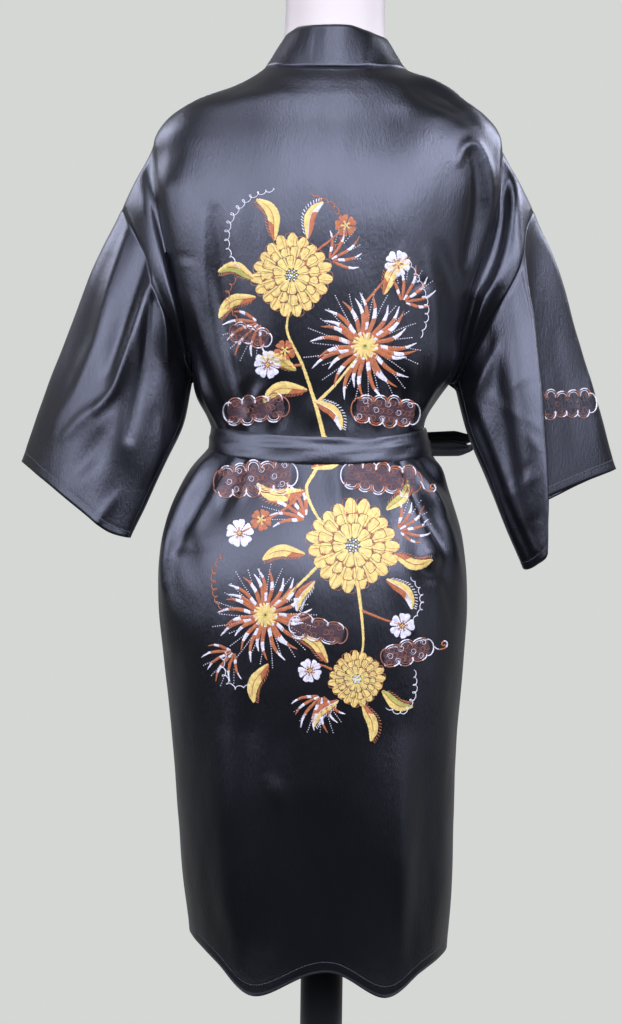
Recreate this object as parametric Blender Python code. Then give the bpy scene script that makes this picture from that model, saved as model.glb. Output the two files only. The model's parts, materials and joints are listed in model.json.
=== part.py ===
"""A short satin kimono robe, worn by a limbless dress form on a round foot.

The robe is a back, two fronts that wrap left over right, two straight sleeves and a neck band,
closed by a sash that is tied in a bow at the front. Every size is in millimetres until a mesh
is made. X runs to the wearer's left, Y to the back and Z up, from the floor under the pole.

The robe's middle surface is one net of points. Each cut piece is a patch of that net, pulled
back a little along its seams and thickened, so neighbours meet edge to edge.
"""
import math
from collections import namedtuple

import bmesh
import bpy
import numpy as np

MM = 0.001

# Cloth
PANEL_WALL = 1.6
BAND_WALL = 2.4
SEAM_GAP = 0.3
SQUARE = 2.25           # 2 is an ellipse, more is squarer across the shoulders

# Places along the height of the robe
HEM = 385
ARMPIT = 1020
SHOULDER_END = 1278
NECK_SEAM = 1357
BACK_DIP = 12           # how much lower the neckline is behind
DIP_ENDS = (1400, 1440)     # heights on the form's neck between which that dip fades out
WAIST = 957
WAIST_REACH = 45        # above and below the waist, where the sash pulls the cloth
WAIST_RISE = 5          # the sash sits this much higher at the sides,
WAIST_SAG = 9           # and this much lower behind
HEM_BLEND = 200         # the height over which the rows follow the hem's line

# Beside the armholes the back lies flatter than its oval: how far it stands back there on the left
# and on the right, past which angles, and the heights between which that begins and ends
FLAT_BACK = (24, 13)
FLAT_ANGLES = (35, 85)
FLAT_FROM = (1025, 1110)
FLAT_UNTIL = (1215, SHOULDER_END)

# Neck band and sash
BAND_WIDTH = 48
BAND_LEAN = (-0.23, -0.12, 44)      # how the band stands: inward by the seam's x and y, then up
BAND_STANDS = (1155, 1270)      # heights between which the band leaves the chest and stands up
BAND_TURNS = (1225, NECK_SEAM)  # and between which it turns up round the neck
RIGHT_STAND = 0.8       # the band stands lower on the right, where it hugs the neck,
RIGHT_SPAN = (20, 70)   # from this far across to this far
LAP = 5.5               # how far the right front lies inside the left one
LAP_STARTS = (115, 138)     # degrees past the back's middle between which it goes inside
SASH_WIDTH = 28
SASH_WALL = 2.0
SASH_COLUMNS = 56
RIGHT_FROM = 200        # past this angle the sash lies on the right front's own folds
SASH_CLEAR = 1.2        # the sash lies this far off the neck band under it
KNOT_AT = (-8, -106.9, 955)
KNOT_SIZE = (36, 20, 34)
KNOT_SOFT = 0.7         # 1 is an egg, less is squarer
KNOT_RINGS = 8
KNOT_SIDES = 14
LOOP_ROOT = 4           # half the gap between a loop's two runs, at the knot and at its tip
LOOP_TIP = 5.5
LOOP_NARROWS = 4        # a loop's cloth is this much narrower than the sash
RUN_STEPS = 7
TIP_STEPS = 8
TAIL_NARROWS = 2
TAIL_STEPS = 12
TAIL_TOP = 0.5          # a tail starts this far above the knot's underside
TAIL_STANDS = 3         # and hangs this far off the robe
TAIL_SEAT = 0.25        # the share of its length over which it falls back from the knot

# The bow: how far each loop reaches from the knot, droops, swings back and is tilted
Loop = namedtuple("Loop", "side reach droop swing tilt")
LOOPS = {
    "belt_loop_left": Loop(1, 112, 16, 6, 40),
    "belt_loop_right": Loop(-1, 158, -4, 30, 46),
}

# and where each hanging end starts and stops, measured across from the knot
Tail = namedtuple("Tail", "x_top x_foot foot")
TAILS = {
    "belt_tail_left": Tail(14, 34, 700),
    "belt_tail_right": Tail(-14, -30, 655),
}

# Dress form and foot
FORM_CLEAR = 1.6
POLE_RADIUS = 23.5
POLE_SIDES = 32
FOOT_RADIUS = 190
FOOT_HEIGHT = 16
FOOT_BEVEL = 3
FOOT_SIDES = 48

# The robe seen from behind and from the side: how far it reaches at each height
Level = namedtuple("Level", "height left right back front")
ROBE = (
    Level(385, 148, 138, 112, 113),
    Level(445, 155, 142, 116, 118),
    Level(540, 161, 143, 121, 121),
    Level(640, 169, 145, 125, 123),
    Level(715, 178, 150, 128, 122),
    Level(777, 185, 153, 130, 121),
    Level(827, 185, 151, 127, 117),
    Level(860, 180, 146, 120, 111),
    Level(895, 168, 135, 108, 104),
    Level(926, 150, 123, 96, 97),
    Level(951, 128, 107, 88, 92),
    Level(976, 132, 104, 88, 92),
    Level(1003, 146, 117, 92, 99),
    Level(1035, 152, 138, 99, 111),
    Level(1083, 158, 144, 107, 126),
    Level(1140, 170, 156, 114, 132),
    Level(1185, 180, 168, 118, 128),
    Level(1225, 187, 177, 118, 117),
    Level(1255, 192, 182, 115, 105),
    Level(1278, 195, 183, 110, 93),
    Level(1293, 188, 179, 105, 86),
    Level(1304, 178, 170, 101, 80),
    Level(1312, 166, 161, 98, 75),
    Level(1320, 148, 147, 95, 70),
    Level(1331, 118, 134, 90, 62),
    Level(1343, 97, 116, 84, 55),
    Level(1357, 76, 78, 74, 44),
)
ROBE_ROWS = (385, 402, 430, 470, 520, 575, 630, 685, 735, 777, 815, 848, 878, 905, 928, 943, 957,
             971, 992, 1020, 1052, 1086, 1120, 1155, 1188, 1220, 1250, 1278, 1293, 1304, 1312,
             1320, 1331, 1343, 1357)

# The dress form under it, symmetrical, up to the shoulders; its neck goes on above
Form = namedtuple("Form", "height half back front")
FORM = (
    Form(700, 108, 88, 80),
    Form(703, 118, 97, 88),
    Form(712, 127, 104, 95),
    Form(740, 139, 113, 103),
    Form(777, 145, 121, 108),
    Form(827, 142, 118, 106),
    Form(860, 136, 111, 100),
    Form(895, 124, 99, 93),
    Form(926, 111, 87, 87),
    Form(951, 99, 80, 82),
    Form(976, 97, 80, 82),
    Form(1003, 104, 84, 88),
    Form(1035, 114, 91, 99),
    Form(1083, 128, 99, 113),
    Form(1140, 141, 106, 119),
    Form(1185, 151, 110, 115),
    Form(1225, 161, 110, 104),
    Form(1255, 172, 106, 93),
    Form(1278, 175, 102, 83),
    Form(1293, 173, 99, 77),
    Form(1304, 167, 96, 72),
    Form(1312, 159.5, 93, 67),
    Form(1320, 145.5, 90, 62),
    Form(1331, 117, 85, 54),
    Form(1343, 96, 79, 48),
    Form(1357, 75, 69, 42),
    Form(1366, 65, 65, 43),
    Form(1380, 58, 61, 46),
    Form(1400, 55, 58, 50),
    Form(1430, 54, 57, 54),
    Form(1488, 54, 57, 56),
    Form(1497, 51, 54, 53),
    Form(1500, 46, 49, 48),
)

# The front edge that the neck band is sewn to, measured across from the middle
Edge = namedtuple("Edge", "height out")
FRONT_EDGE = (
    Edge(385, -42),
    Edge(700, -38),
    Edge(957, -32),
    Edge(1020, -5),
    Edge(1090, 25),
    Edge(1160, 47),
    Edge(1230, 62),
    Edge(1280, 69),
    Edge(1322, 72.5),
    Edge(1345, 74),
    Edge(1357, 73),
)

EDGE_LIMIT = 0.985      # the front edge stays this far from the robe's side, as a share of its width

# The hem's drop around the robe: 0 is the middle of the back, 90 the left side
Drop = namedtuple("Drop", "angle height")
HEM_LINE = (
    Drop(-240, 392),
    Drop(-180, 396),
    Drop(-130, 400),
    Drop(-90, 402),
    Drop(-68, 404),
    Drop(-46, 396),
    Drop(-25, 378),
    Drop(-2, 405),
    Drop(28, 378),
    Drop(46, 403),
    Drop(66, 417),
    Drop(90, 420),
    Drop(130, 408),
    Drop(180, 396),
    Drop(240, 392),
)

# Long folds: from one angle and height to another, how wide and how far out of the surface
Fold = namedtuple("Fold", "angle_top top angle_foot foot width rise")
FOLDS = (
    Fold(30, 660, 29, 340, 24, 8),
    Fold(-28, 660, -26, 340, 24, 8),
    Fold(2, 600, -2, 360, 20, -6),
    Fold(74, 940, 64, 760, 13, 5),
    Fold(60, 940, 46, 800, 10, -4),
    Fold(-34, 945, -60, 760, 11, -5),
    Fold(-44, 945, -70, 800, 12, 4),
    Fold(62, 1110, 44, 972, 12, 5),
    Fold(48, 1150, 32, 972, 10, -3),
    Fold(-70, 1100, -56, 972, 12, 4),
    Fold(120, 940, 112, 560, 16, 5),
    Fold(150, 945, 140, 620, 14, -4),
    Fold(-120, 940, -112, 560, 16, 5),
    Fold(-146, 945, -138, 620, 14, -4),
    Fold(118, 1120, 128, 975, 14, 4),
    Fold(-118, 1120, -128, 975, 14, 4),
)

FOLD_RADIUS = 130       # a fold's width is measured at this distance from the middle

# Sleeves, from the armhole seam to the cuff. Each key is (out, back, up), in order round the tube:
# the underarm seam, three keys on the back of the sleeve, its top fold, and two on the front
Section = namedtuple("Section", "along under back_low back_mid back_high top front_high front_low")
LEFT_SLEEVE = (
    Section(0.00, (152, 0, 1020), (172, 36, 1078), (193, 44, 1130), (213, 28, 1178),
            (231, -8, 1209), (202, -52, 1130), (168, -36, 1064)),
    Section(0.25, (160, 10, 975), (185, 40, 1020), (212, 48, 1062), (242, 28, 1108),
            (263, -18, 1147), (226, -62, 1070), (183, -40, 1012)),
    Section(0.50, (177, 18, 936), (203, 42, 968), (233, 42, 1003), (267, 18, 1045),
            (291, -30, 1079), (249, -68, 1005), (200, -40, 962)),
    Section(0.75, (196, 25, 893), (223, 40, 913), (255, 34, 942), (293, 6, 978),
            (321, -42, 1006), (272, -70, 942), (217, -38, 904)),
    Section(1.00, (215, 30, 851), (238, 40, 858), (268, 30, 879), (307, 2, 906),
            (349, -55, 931), (292, -72, 887), (235, -36, 856)),
)
RIGHT_SLEEVE = (
    Section(0.00, (138, 0, 1020), (168, 38, 1085), (200, 42, 1145), (209, 22, 1188),
            (220, -8, 1213), (190, -52, 1140), (158, -38, 1068)),
    Section(0.25, (151, 12, 968), (182, 50, 1020), (214, 53, 1088), (209, 22, 1110),
            (250, -14, 1152), (218, -62, 1076), (176, -42, 1012)),
    Section(0.50, (171, 20, 920), (200, 57, 955), (224, 60, 1000), (212, 22, 1024),
            (273, -20, 1080), (236, -66, 1000), (192, -42, 952)),
    Section(0.75, (190, 28, 872), (212, 60, 893), (230, 64, 925), (212, 24, 952),
            (297, -25, 1005), (257, -66, 945), (210, -40, 912)),
    Section(1.00, (210, 35, 826), (222, 60, 830), (231, 66, 848), (212, 26, 884),
            (319, -30, 930), (272, -64, 905), (226, -36, 876)),
)
SECTION_KEYS = (0, 0.13, 0.26, 0.37, 0.5, 0.68, 0.85, 1)    # where the keys lie round the tube
SLEEVE_COLUMNS = 32
SLEEVE_RINGS = 9

# Net sizes
BACK_COLUMNS = 24
FRONT_COLUMNS = 11
CAP_COLUMNS = 5
FORM_COLUMNS = 28
ARMHOLE_OPEN = 13       # degrees that the back edge of the armhole stands off the side
PLEAT_DEPTH = 15
PLEAT_SLOPE = 0.42      # the pleat is no deeper than this share of the cap's width
EASE = 0.02             # how softly the outward steps follow sharp folds
LONGEST_STEP = 1.5
ARMPIT_GAP = 3          # the pieces that meet at the armpit's point stand this far apart there
CAP_CROWN = (7, 3)      # how far the cap swells between its seams, and along the shoulder line
FRONT_PLEAT = 0.2       # the pleat in front of the armhole, as a share of the one behind
PLEAT_END = 0.42        # the share of the cap that the pleat behind the body's edge takes up

# Colours, as shaded
SATIN = (0.012, 0.012, 0.016)
FORM_WHITE = (0.82, 0.76, 0.75)
BLACK_METAL = (0.015, 0.015, 0.016)


def through(keys, values):
    """A smooth function through a table's values, which stays flat past its ends."""
    keys, values = np.array(keys, float), np.array(values, float)
    slopes = np.gradient(values, keys, axis=0)

    def at(place):
        place = min(max(place, keys[0]), keys[-1])
        i = int(min(max(np.searchsorted(keys, place) - 1, 0), len(keys) - 2))
        step = keys[i + 1] - keys[i]
        t = (place - keys[i]) / step
        rise = (3 - 2 * t) * t * t
        return (values[i] * (1 - rise) + values[i + 1] * rise
                + step * t * (1 - t) * ((1 - t) * slopes[i] - t * slopes[i + 1]))

    return at


def columns_of(table):
    """One smooth function for each column of a table, by its first column."""
    keys = [row[0] for row in table]
    return {name: through(keys, [getattr(row, name) for row in table]) for name in table[0]._fields[1:]}


ROBE_AT = columns_of(ROBE)
EDGE_AT = columns_of(FRONT_EDGE)["out"]
HEM_AT = columns_of(HEM_LINE)["height"]


def soft_step(value, start, end):
    t = min(max((value - start) / (end - start), 0), 1)
    return t * t * (3 - 2 * t)


def ring(angle, left, right, back, front):
    """A point on a squared oval, with its way out: 0 is the back, 90 the left side."""
    s, c = math.sin(math.radians(angle)), math.cos(math.radians(angle))
    across, deep = (left if s > 0 else right), (back if c > 0 else front)
    x = math.copysign(abs(s) ** (2 / SQUARE), s)
    y = math.copysign(abs(c) ** (2 / SQUARE), c)
    out = np.array([math.copysign(abs(x) ** (SQUARE - 1), x) / across,
                    math.copysign(abs(y) ** (SQUARE - 1), y) / deep, 0])
    return np.array([x * across, y * deep, 0]), out / np.linalg.norm(out)


def lift(angle, height):
    """How far the cloth at this height hangs above or below it: hem, waist and back neck."""
    hem = (HEM_AT(angle) - HEM) * (1 - soft_step(height, HEM, HEM + HEM_BLEND))
    turn = math.radians(angle)
    pull = WAIST_RISE * math.sin(turn) ** 2 - WAIST_SAG * max(math.cos(turn), 0)
    waist = math.exp(-((height - WAIST) / WAIST_REACH) ** 2) * pull
    return hem + waist - neck_dip(angle, height)


def neck_dip(angle, height):
    """The neckline is lower at the back of the neck than at its sides."""
    behind = max(math.cos(math.radians(angle)), 0) ** 2
    return (BACK_DIP * behind * soft_step(height, SHOULDER_END, NECK_SEAM)
            * (1 - soft_step(height, *DIP_ENDS)))


def folds(angle, height):
    """How far the long folds lift the cloth off its smooth form."""
    rise = 0
    for fold in FOLDS:
        down = (fold.top - height) / (fold.top - fold.foot)
        if not 0 < down < 1:
            continue
        line = fold.angle_top + (fold.angle_foot - fold.angle_top) * down
        off = math.radians(angle - line) * FOLD_RADIUS / fold.width
        rise += fold.rise * math.exp(-off * off) * math.sin(math.pi * down)
    return rise


def lap(angle):
    """The right front runs inside the left one past its own side."""
    return LAP * soft_step(-angle, *LAP_STARTS)


def flat_back(angle, height):
    """How much further back than its oval the back hangs, beside an armhole."""
    if math.cos(math.radians(angle)) < 0:
        return 0
    rise = FLAT_BACK[0] if angle > 0 else FLAT_BACK[1]
    return (rise * soft_step(abs(angle), *FLAT_ANGLES) * soft_step(height, *FLAT_FROM)
            * (1 - soft_step(height, *FLAT_UNTIL)))


def robe_point(angle, height, inner=False):
    """A point of the robe's body; the right front is the inner layer."""
    at = [ROBE_AT[name](height) for name in ("left", "right", "back", "front")]
    point, out = ring(angle, *at)
    point = point + out * (folds((angle + 180) % 360 - 180, height) - (lap(angle) if inner else 0))
    point[1] += flat_back(angle, height)
    point[2] = height + lift(angle, height)
    return point


def edge_angle(height, side):
    """Where a front ends, as an angle: side is 1 for the left front and -1 for the right."""
    x = EDGE_AT(height)
    width = ROBE_AT["left"](height) if x * side > 0 else ROBE_AT["right"](height)
    share = min(abs(x) / width, EDGE_LIMIT)
    turn = math.degrees(math.asin(share ** (SQUARE / 2)))
    return side * (180 - math.copysign(turn, x))


def chest_point(x, height, inner):
    """A point on the front of the robe, at a given place across."""
    width = ROBE_AT["left"](height) if x > 0 else ROBE_AT["right"](height)
    turn = math.degrees(math.asin(min(abs(x) / width, 1) ** (SQUARE / 2)))
    angle = 180 - math.copysign(turn, x)
    return robe_point(angle - 360 if inner else angle, height, inner)


def sleeve_point(table, side, along, turn):
    """A point of a sleeve: turn runs once round the tube, from the underarm seam up the back."""
    keys = []
    for name in Section._fields[1:]:
        out, back, up = through([row.along for row in table], [getattr(row, name) for row in table])(along)
        keys.append((side * out, back, up))
    loop = [keys[-1]] + keys + [keys[0], keys[1]]
    places = [SECTION_KEYS[-2] - 1] + list(SECTION_KEYS) + [1 + SECTION_KEYS[1]]
    return through(places, loop)(turn)


class Net:
    """The robe's middle surface: shared points, and faces that belong to named pieces."""

    def __init__(self):
        self.points = []
        self.faces = {}
        self.corners = set()        # where many pieces meet in a point
        self.halfway = []           # points in the middle of another piece's straight edge
        self.steps = []

    def add(self, point):
        self.points.append(np.array(point, float))
        return len(self.points) - 1

    def patch(self, piece, rows, flip=False):
        """Joins rows of point numbers with faces; a corner that repeats is dropped."""
        for low, high in zip(rows, rows[1:]):
            for k in range(len(low) - 1):
                corners = [low[k], low[k + 1], high[k + 1], high[k]]
                kept = [c for i, c in enumerate(corners) if c not in corners[:i]]
                for part in self.halves(kept):
                    self.faces.setdefault(piece, []).append(part[::-1] if flip else part)

    def halves(self, corners):
        """A four-cornered face as two triangles, split along its shorter diagonal."""
        if len(corners) < 4:
            return [corners] if len(corners) == 3 else []
        a, b, c, d = corners
        if np.linalg.norm(self.points[a] - self.points[c]) <= np.linalg.norm(self.points[b] - self.points[d]):
            return [[a, b, c], [a, c, d]]
        return [[a, b, d], [b, c, d]]

    def face_normal(self, face):
        a, b, c = (self.points[corner] for corner in face)
        return np.cross(b - a, c - a)

    def outward(self, normals):
        """The step that lies one unit outside every face round a point, as near as it can."""
        normals = np.array(normals)
        normals /= np.linalg.norm(normals, axis=1)[:, None]
        step = np.linalg.solve(normals.T @ normals + EASE * len(normals) * np.eye(3), normals.sum(axis=0))
        return step * min(1, LONGEST_STEP / np.linalg.norm(step))

    def find_steps(self):
        """Neighbouring pieces share these outward steps, so their walls meet squarely at a seam."""
        around = [[] for _ in self.points]
        for faces in self.faces.values():
            for face in faces:
                for corner in face:
                    around[corner].append(self.face_normal(face))
        self.steps = [self.outward(normals) if normals else np.zeros(3) for normals in around]
        for middle, before, after in self.halfway:
            self.steps[middle] = (self.steps[before] + self.steps[after]) / 2

    def wall(self, piece, thickness, gap=SEAM_GAP):
        """The piece's points and faces as a closed wall, pulled back half a gap along its edges."""
        faces = self.faces[piece]
        directed = {(face[i], face[(i + 1) % len(face)]) for face in faces for i in range(len(face))}
        pulls = {}
        borders = []
        for face in faces:
            normal = self.face_normal(face)
            for i, a in enumerate(face):
                b = face[(i + 1) % len(face)]
                if (b, a) in directed:
                    continue
                borders.append((a, b))
                inward = np.cross(normal, self.points[b] - self.points[a])
                inward /= np.linalg.norm(inward)
                pulls.setdefault(a, []).append(inward)
                pulls.setdefault(b, []).append(inward)
        own = {c: self.outward([self.face_normal(face) for face in faces if c in face])
               for c in self.corners if any(c in face for face in faces)}
        used = sorted({c for face in faces for c in face})
        number = {c: i for i, c in enumerate(used)}
        outer, inner = [], []
        for c in used:
            point, out = self.points[c], own.get(c, self.steps[c])
            if c in pulls:
                sides = pulls[c]
                wide = ARMPIT_GAP if c in own else gap
                point = point + wide / 2 * sum(sides) / max(1 + float(sides[0] @ sides[-1]), 0.5)
            outer.append(point + out * thickness / 2)
            inner.append(point - out * thickness / 2)
        count = len(used)
        top = [[number[c] for c in face] for face in faces]
        under = [[number[c] + count for c in reversed(face)] for face in faces]
        rim = [[number[a], number[a] + count, number[b] + count, number[b]] for a, b in borders]
        return outer + inner, top + under + rim


def robe_net():
    """Builds the whole robe's net: body, armhole caps, sleeves and neck band."""
    net = Net()
    heights = ROBE_ROWS
    armpit, end = heights.index(ARMPIT), heights.index(SHOULDER_END)
    back, left, right = [], [], []
    for i, height in enumerate(heights):
        share = (i - armpit) / (end - armpit)
        opened = ARMHOLE_OPEN * math.sin(math.pi * share) ** 0.5 if 0 < share < 1 else 0
        side = 90 - opened
        back.append([net.add(robe_point(side * (1 - 2 * k / BACK_COLUMNS), height))
                     for k in range(BACK_COLUMNS + 1)])
        for rows, sign, corner in ((left, 1, back[-1][0]), (right, -1, back[-1][-1])):
            start, finish = sign * (90 + opened), edge_angle(height, sign)
            first = net.add(robe_point(start, height, sign < 0)) if opened else corner
            rest = [net.add(robe_point(start + (finish - start) * k / FRONT_COLUMNS, height, sign < 0))
                    for k in range(1, FRONT_COLUMNS + 1)]
            rows.append([first] + rest)
    net.patch("robe_back", back)
    net.patch("robe_front_left", [row[::-1] for row in left])
    net.patch("robe_front_right", right)
    sleeve(net, "sleeve_left", LEFT_SLEEVE, 1, [row[0] for row in back], [row[0] for row in left],
           armpit, end)
    sleeve(net, "sleeve_right", RIGHT_SLEEVE, -1, [row[-1] for row in back], [row[0] for row in right],
           armpit, end)
    seam = [row[-1] for row in left] + left[-1][-2::-1] + back[-1][1:] + right[-1][1:]
    seam += [row[-1] for row in right][-2::-1]
    neck_band(net, seam, len(heights))
    net.find_steps()
    return net


def sleeve(net, name, table, side, back_edge, front_edge, armpit, end):
    """A sleeve, and the cap of each body panel that reaches out to its seam."""
    half = SLEEVE_COLUMNS // 2
    seam = [back_edge[armpit]]
    net.corners.add(back_edge[armpit])
    seam += [net.add(sleeve_point(table, side, 0, k / SLEEVE_COLUMNS)) for k in range(1, SLEEVE_COLUMNS)]
    for k in range(1, SLEEVE_COLUMNS, 2):
        before, after = seam[k - 1], seam[(k + 1) % SLEEVE_COLUMNS]
        net.points[seam[k]] = (net.points[before] + net.points[after]) / 2
        net.halfway.append((seam[k], before, after))
    rings = [seam + [seam[0]]]
    for r in range(1, SLEEVE_RINGS):
        ring_points = [net.add(sleeve_point(table, side, r / (SLEEVE_RINGS - 1), k / SLEEVE_COLUMNS))
                       for k in range(SLEEVE_COLUMNS)]
        rings.append(ring_points + [ring_points[0]])
    net.patch(name, rings, flip=side < 0)
    caps = {"robe_back": [], "robe_front_left" if side > 0 else "robe_front_right": []}
    steps = end - armpit
    shoulder_line = []
    for piece, rows in caps.items():
        behind = piece == "robe_back"
        for i in range(steps + 1):
            place = half * i / steps
            inner = (back_edge if behind else front_edge)[armpit + i]
            outer = seam[round(place)] if behind else rings[0][SLEEVE_COLUMNS - round(place)]
            if i == 0:
                rows.append([inner] * (CAP_COLUMNS + 1))
                continue
            if i == steps and shoulder_line:
                rows.append(shoulder_line)
                continue
            start, finish = net.points[inner], net.points[outer]
            reach = min(PLEAT_DEPTH, PLEAT_SLOPE * np.linalg.norm(finish - start))
            deep = reach * max(math.sin(math.pi * i / steps), 0) ** 0.5 * (1 if behind else FRONT_PLEAT)
            row = [inner]
            for k in range(1, CAP_COLUMNS):
                share = k / CAP_COLUMNS
                pleat = math.sin(math.pi * min(share / PLEAT_END, 1)) ** 2
                crown = math.sin(math.pi * share) * CAP_CROWN[i == steps]
                move = np.array([0, crown - deep * pleat, 0]) * (1 if behind else -1)
                if i == steps:
                    move = np.array([0, 0, crown])
                row.append(net.add(start + (finish - start) * share + move))
            row.append(outer)
            rows.append(row)
            if i == steps:
                shoulder_line = row
        net.patch(piece, rows, flip=(side > 0) == behind)


def neck_band(net, seam, front_rows):
    """The band along both front edges and round the neck, standing up behind it."""
    rows = []
    for k, number in enumerate(seam):
        ahead = net.points[seam[min(k + 1, len(seam) - 1)]] - net.points[seam[max(k - 1, 0)]]
        side = 1 if k < front_rows else -1 if k >= len(seam) - front_rows else 0
        height = ROBE_ROWS[k if side > 0 else len(seam) - 1 - k] if side else NECK_SEAM
        row = [number]
        for share in (0.5, 1):
            row.append(net.add(band_point(net.points[number], ahead, side, height, share * BAND_WIDTH)))
        rows.append(row)
    net.patch("neck_band", rows, flip=True)


def band_point(seam, ahead, side, height, width):
    """A point of the band, this far from its seam: side is 0 round the neck, 1 on the left front."""
    up = np.array([BAND_LEAN[0] * seam[0], BAND_LEAN[1] * seam[1], BAND_LEAN[2]])
    up *= (1 - (1 - RIGHT_STAND) * soft_step(-seam[0], *RIGHT_SPAN)) / np.linalg.norm(up)
    if not side:
        return seam + up * width
    ahead = ahead / np.linalg.norm(ahead)
    toward = np.array([-side, 0.0, 0.0])
    toward -= ahead * float(toward @ ahead)
    toward /= np.linalg.norm(toward)
    rise = soft_step(height, *BAND_TURNS)
    lean = toward * (1 - rise) + up / np.linalg.norm(up) * rise
    stand = seam + lean * width / np.linalg.norm(lean) * (1 - rise + np.linalg.norm(up) * rise)
    flat = chest_point(seam[0] + toward[0] * width, height + toward[2] * width, side < 0)
    flat[2] = seam[2] + toward[2] * width
    mix = soft_step(height, *BAND_STANDS)
    return flat * (1 - mix) + stand * mix


def material(name, colour, rough, metallic=0.0):
    """One plain material of the part's colour."""
    made = bpy.data.materials.new(name)
    made.use_nodes = True
    shader = made.node_tree.nodes["Principled BSDF"]
    shader.inputs["Base Color"].default_value = (*colour, 1)
    shader.inputs["Roughness"].default_value = rough
    shader.inputs["Metallic"].default_value = metallic
    return made


def solid(name, points, faces, finish):
    """Makes one named object from points in millimetres."""
    mesh = bpy.data.meshes.new(name)
    mesh.from_pydata([tuple(np.array(p) * MM) for p in points], [], faces)
    mesh.materials.append(finish)
    made = bpy.data.objects.new(name, mesh)
    bpy.context.scene.collection.objects.link(made)
    work = bmesh.new()
    work.from_mesh(mesh)
    bmesh.ops.triangulate(work, faces=[f for f in work.faces if len(f.verts) > 3])
    bmesh.ops.recalc_face_normals(work, faces=work.faces)
    work.to_mesh(mesh)
    work.free()
    mesh.shade_smooth()
    return made


def stack(rings):
    """Faces over a stack of equal rings, closed with a flat face at each end."""
    size, points, faces = len(rings[0]), [p for row in rings for p in row], []
    for r in range(len(rings) - 1):
        for k in range(size):
            a, b = r * size + k, r * size + (k + 1) % size
            faces.append([a, b, b + size, a + size])
    faces.append([k for k in range(size)][::-1])
    faces.append([len(points) - size + k for k in range(size)])
    return points, faces


def dress_form(finish):
    """The smooth torso with its neck, closed below and above."""
    rings = []
    for row in FORM:
        height = row.height - FORM_CLEAR
        rings.append([])
        for k in range(FORM_COLUMNS):
            angle = -360 * k / FORM_COLUMNS
            point, _ = ring(angle, row.half, row.half, row.back, row.front)
            point[2] = height - neck_dip(angle, row.height)
            rings[-1].append(point)
    return solid("form_torso", *stack(rings), finish)


def turned(name, profile, finish, sides):
    """A round piece from its (radius, height) profile, from the bottom up."""
    rings = [[(r * math.cos(2 * math.pi * k / sides), r * math.sin(2 * math.pi * k / sides), z)
              for k in range(sides)] for r, z in profile]
    return solid(name, *stack(rings), finish)


def strip(name, route, across, width, finish, wall=SASH_WALL):
    """A flat band of cloth along a route: across is the way its width runs at each point."""
    sections = []
    for k, point in enumerate(route):
        ahead = np.array(route[min(k + 1, len(route) - 1)], float) - np.array(route[max(k - 1, 0)], float)
        ahead /= np.linalg.norm(ahead)
        wide = np.array(across[k], float)
        thick = np.cross(ahead, wide)
        thick /= np.linalg.norm(thick)
        sections.append([np.array(point) + wide * u * width / 2 + thick * v * wall / 2
                         for u, v in ((-1, -1), (1, -1), (1, 1), (-1, 1))])
    return solid(name, *stack(sections), finish)


def sash_ring(finish):
    """The sash round the waist, over both fronts."""
    rows = []
    for height in (WAIST - SASH_WIDTH / 2, WAIST, WAIST + SASH_WIDTH / 2):
        rows.append([])
        for k in range(SASH_COLUMNS):
            angle = 360 * k / SASH_COLUMNS
            turn = angle if angle <= RIGHT_FROM else angle - 360
            _, out = ring(turn, *[ROBE_AT[name](height) for name in ("left", "right", "back", "front")])
            rows[-1].append((robe_point(turn, height), out))
    inside = BAND_WALL / 2 + SASH_CLEAR
    loops = [[point + out * inside for point, out in row] for row in rows]
    loops += [[point + out * (inside + SASH_WALL) for point, out in row] for row in reversed(rows)]
    points = [point for loop in loops for point in loop]
    faces = []
    for r in range(len(loops)):
        for k in range(SASH_COLUMNS):
            a, b = r * SASH_COLUMNS + k, r * SASH_COLUMNS + (k + 1) % SASH_COLUMNS
            faces.append([a, b, (b + SASH_COLUMNS) % len(points), (a + SASH_COLUMNS) % len(points)])
    return solid("belt_band", points, faces, finish)


def squared(value):
    """A sine or cosine of the knot's form, made squarer."""
    return math.copysign(abs(value) ** KNOT_SOFT, value)


def knot(finish):
    """The knot in front, a soft squared lump."""
    rings = []
    for r in range(1, KNOT_RINGS):
        tilt = math.pi * (r / KNOT_RINGS - 0.5)
        rings.append([])
        for k in range(KNOT_SIDES):
            turn = 2 * math.pi * k / KNOT_SIDES
            shape = (squared(math.cos(turn)) * squared(math.cos(tilt)),
                     squared(math.sin(turn)) * squared(math.cos(tilt)), squared(math.sin(tilt)))
            rings[-1].append([at + size / 2 * share for at, size, share in zip(KNOT_AT, KNOT_SIZE, shape)])
    return solid("belt_knot", *stack(rings), finish)


def bow_loop(name, loop, finish):
    """A loop of the bow: out over the top from the knot, round its tip and back below."""
    x, y, z = KNOT_AT
    start = KNOT_SIZE[0] / 2 + SEAM_GAP
    tip = loop.reach - LOOP_TIP
    over = [(start + (tip - start) * k / RUN_STEPS,
             LOOP_ROOT + (LOOP_TIP - LOOP_ROOT) * soft_step(k, 0, RUN_STEPS)) for k in range(RUN_STEPS)]
    turns = [math.pi * k / TIP_STEPS for k in range(TIP_STEPS + 1)]
    places = over + [(tip + LOOP_TIP * math.sin(turn), LOOP_TIP * math.cos(turn)) for turn in turns]
    places += [(out, -up) for out, up in reversed(over)]
    route = [(x + loop.side * out, y + loop.swing * (out / loop.reach) ** 3,
              z + up - loop.droop * (out / loop.reach) ** 2) for out, up in places]
    ruling = (0, math.cos(math.radians(loop.tilt)), math.sin(math.radians(loop.tilt)))
    return strip(name, route, [ruling] * len(route), SASH_WIDTH - LOOP_NARROWS, finish)


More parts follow.
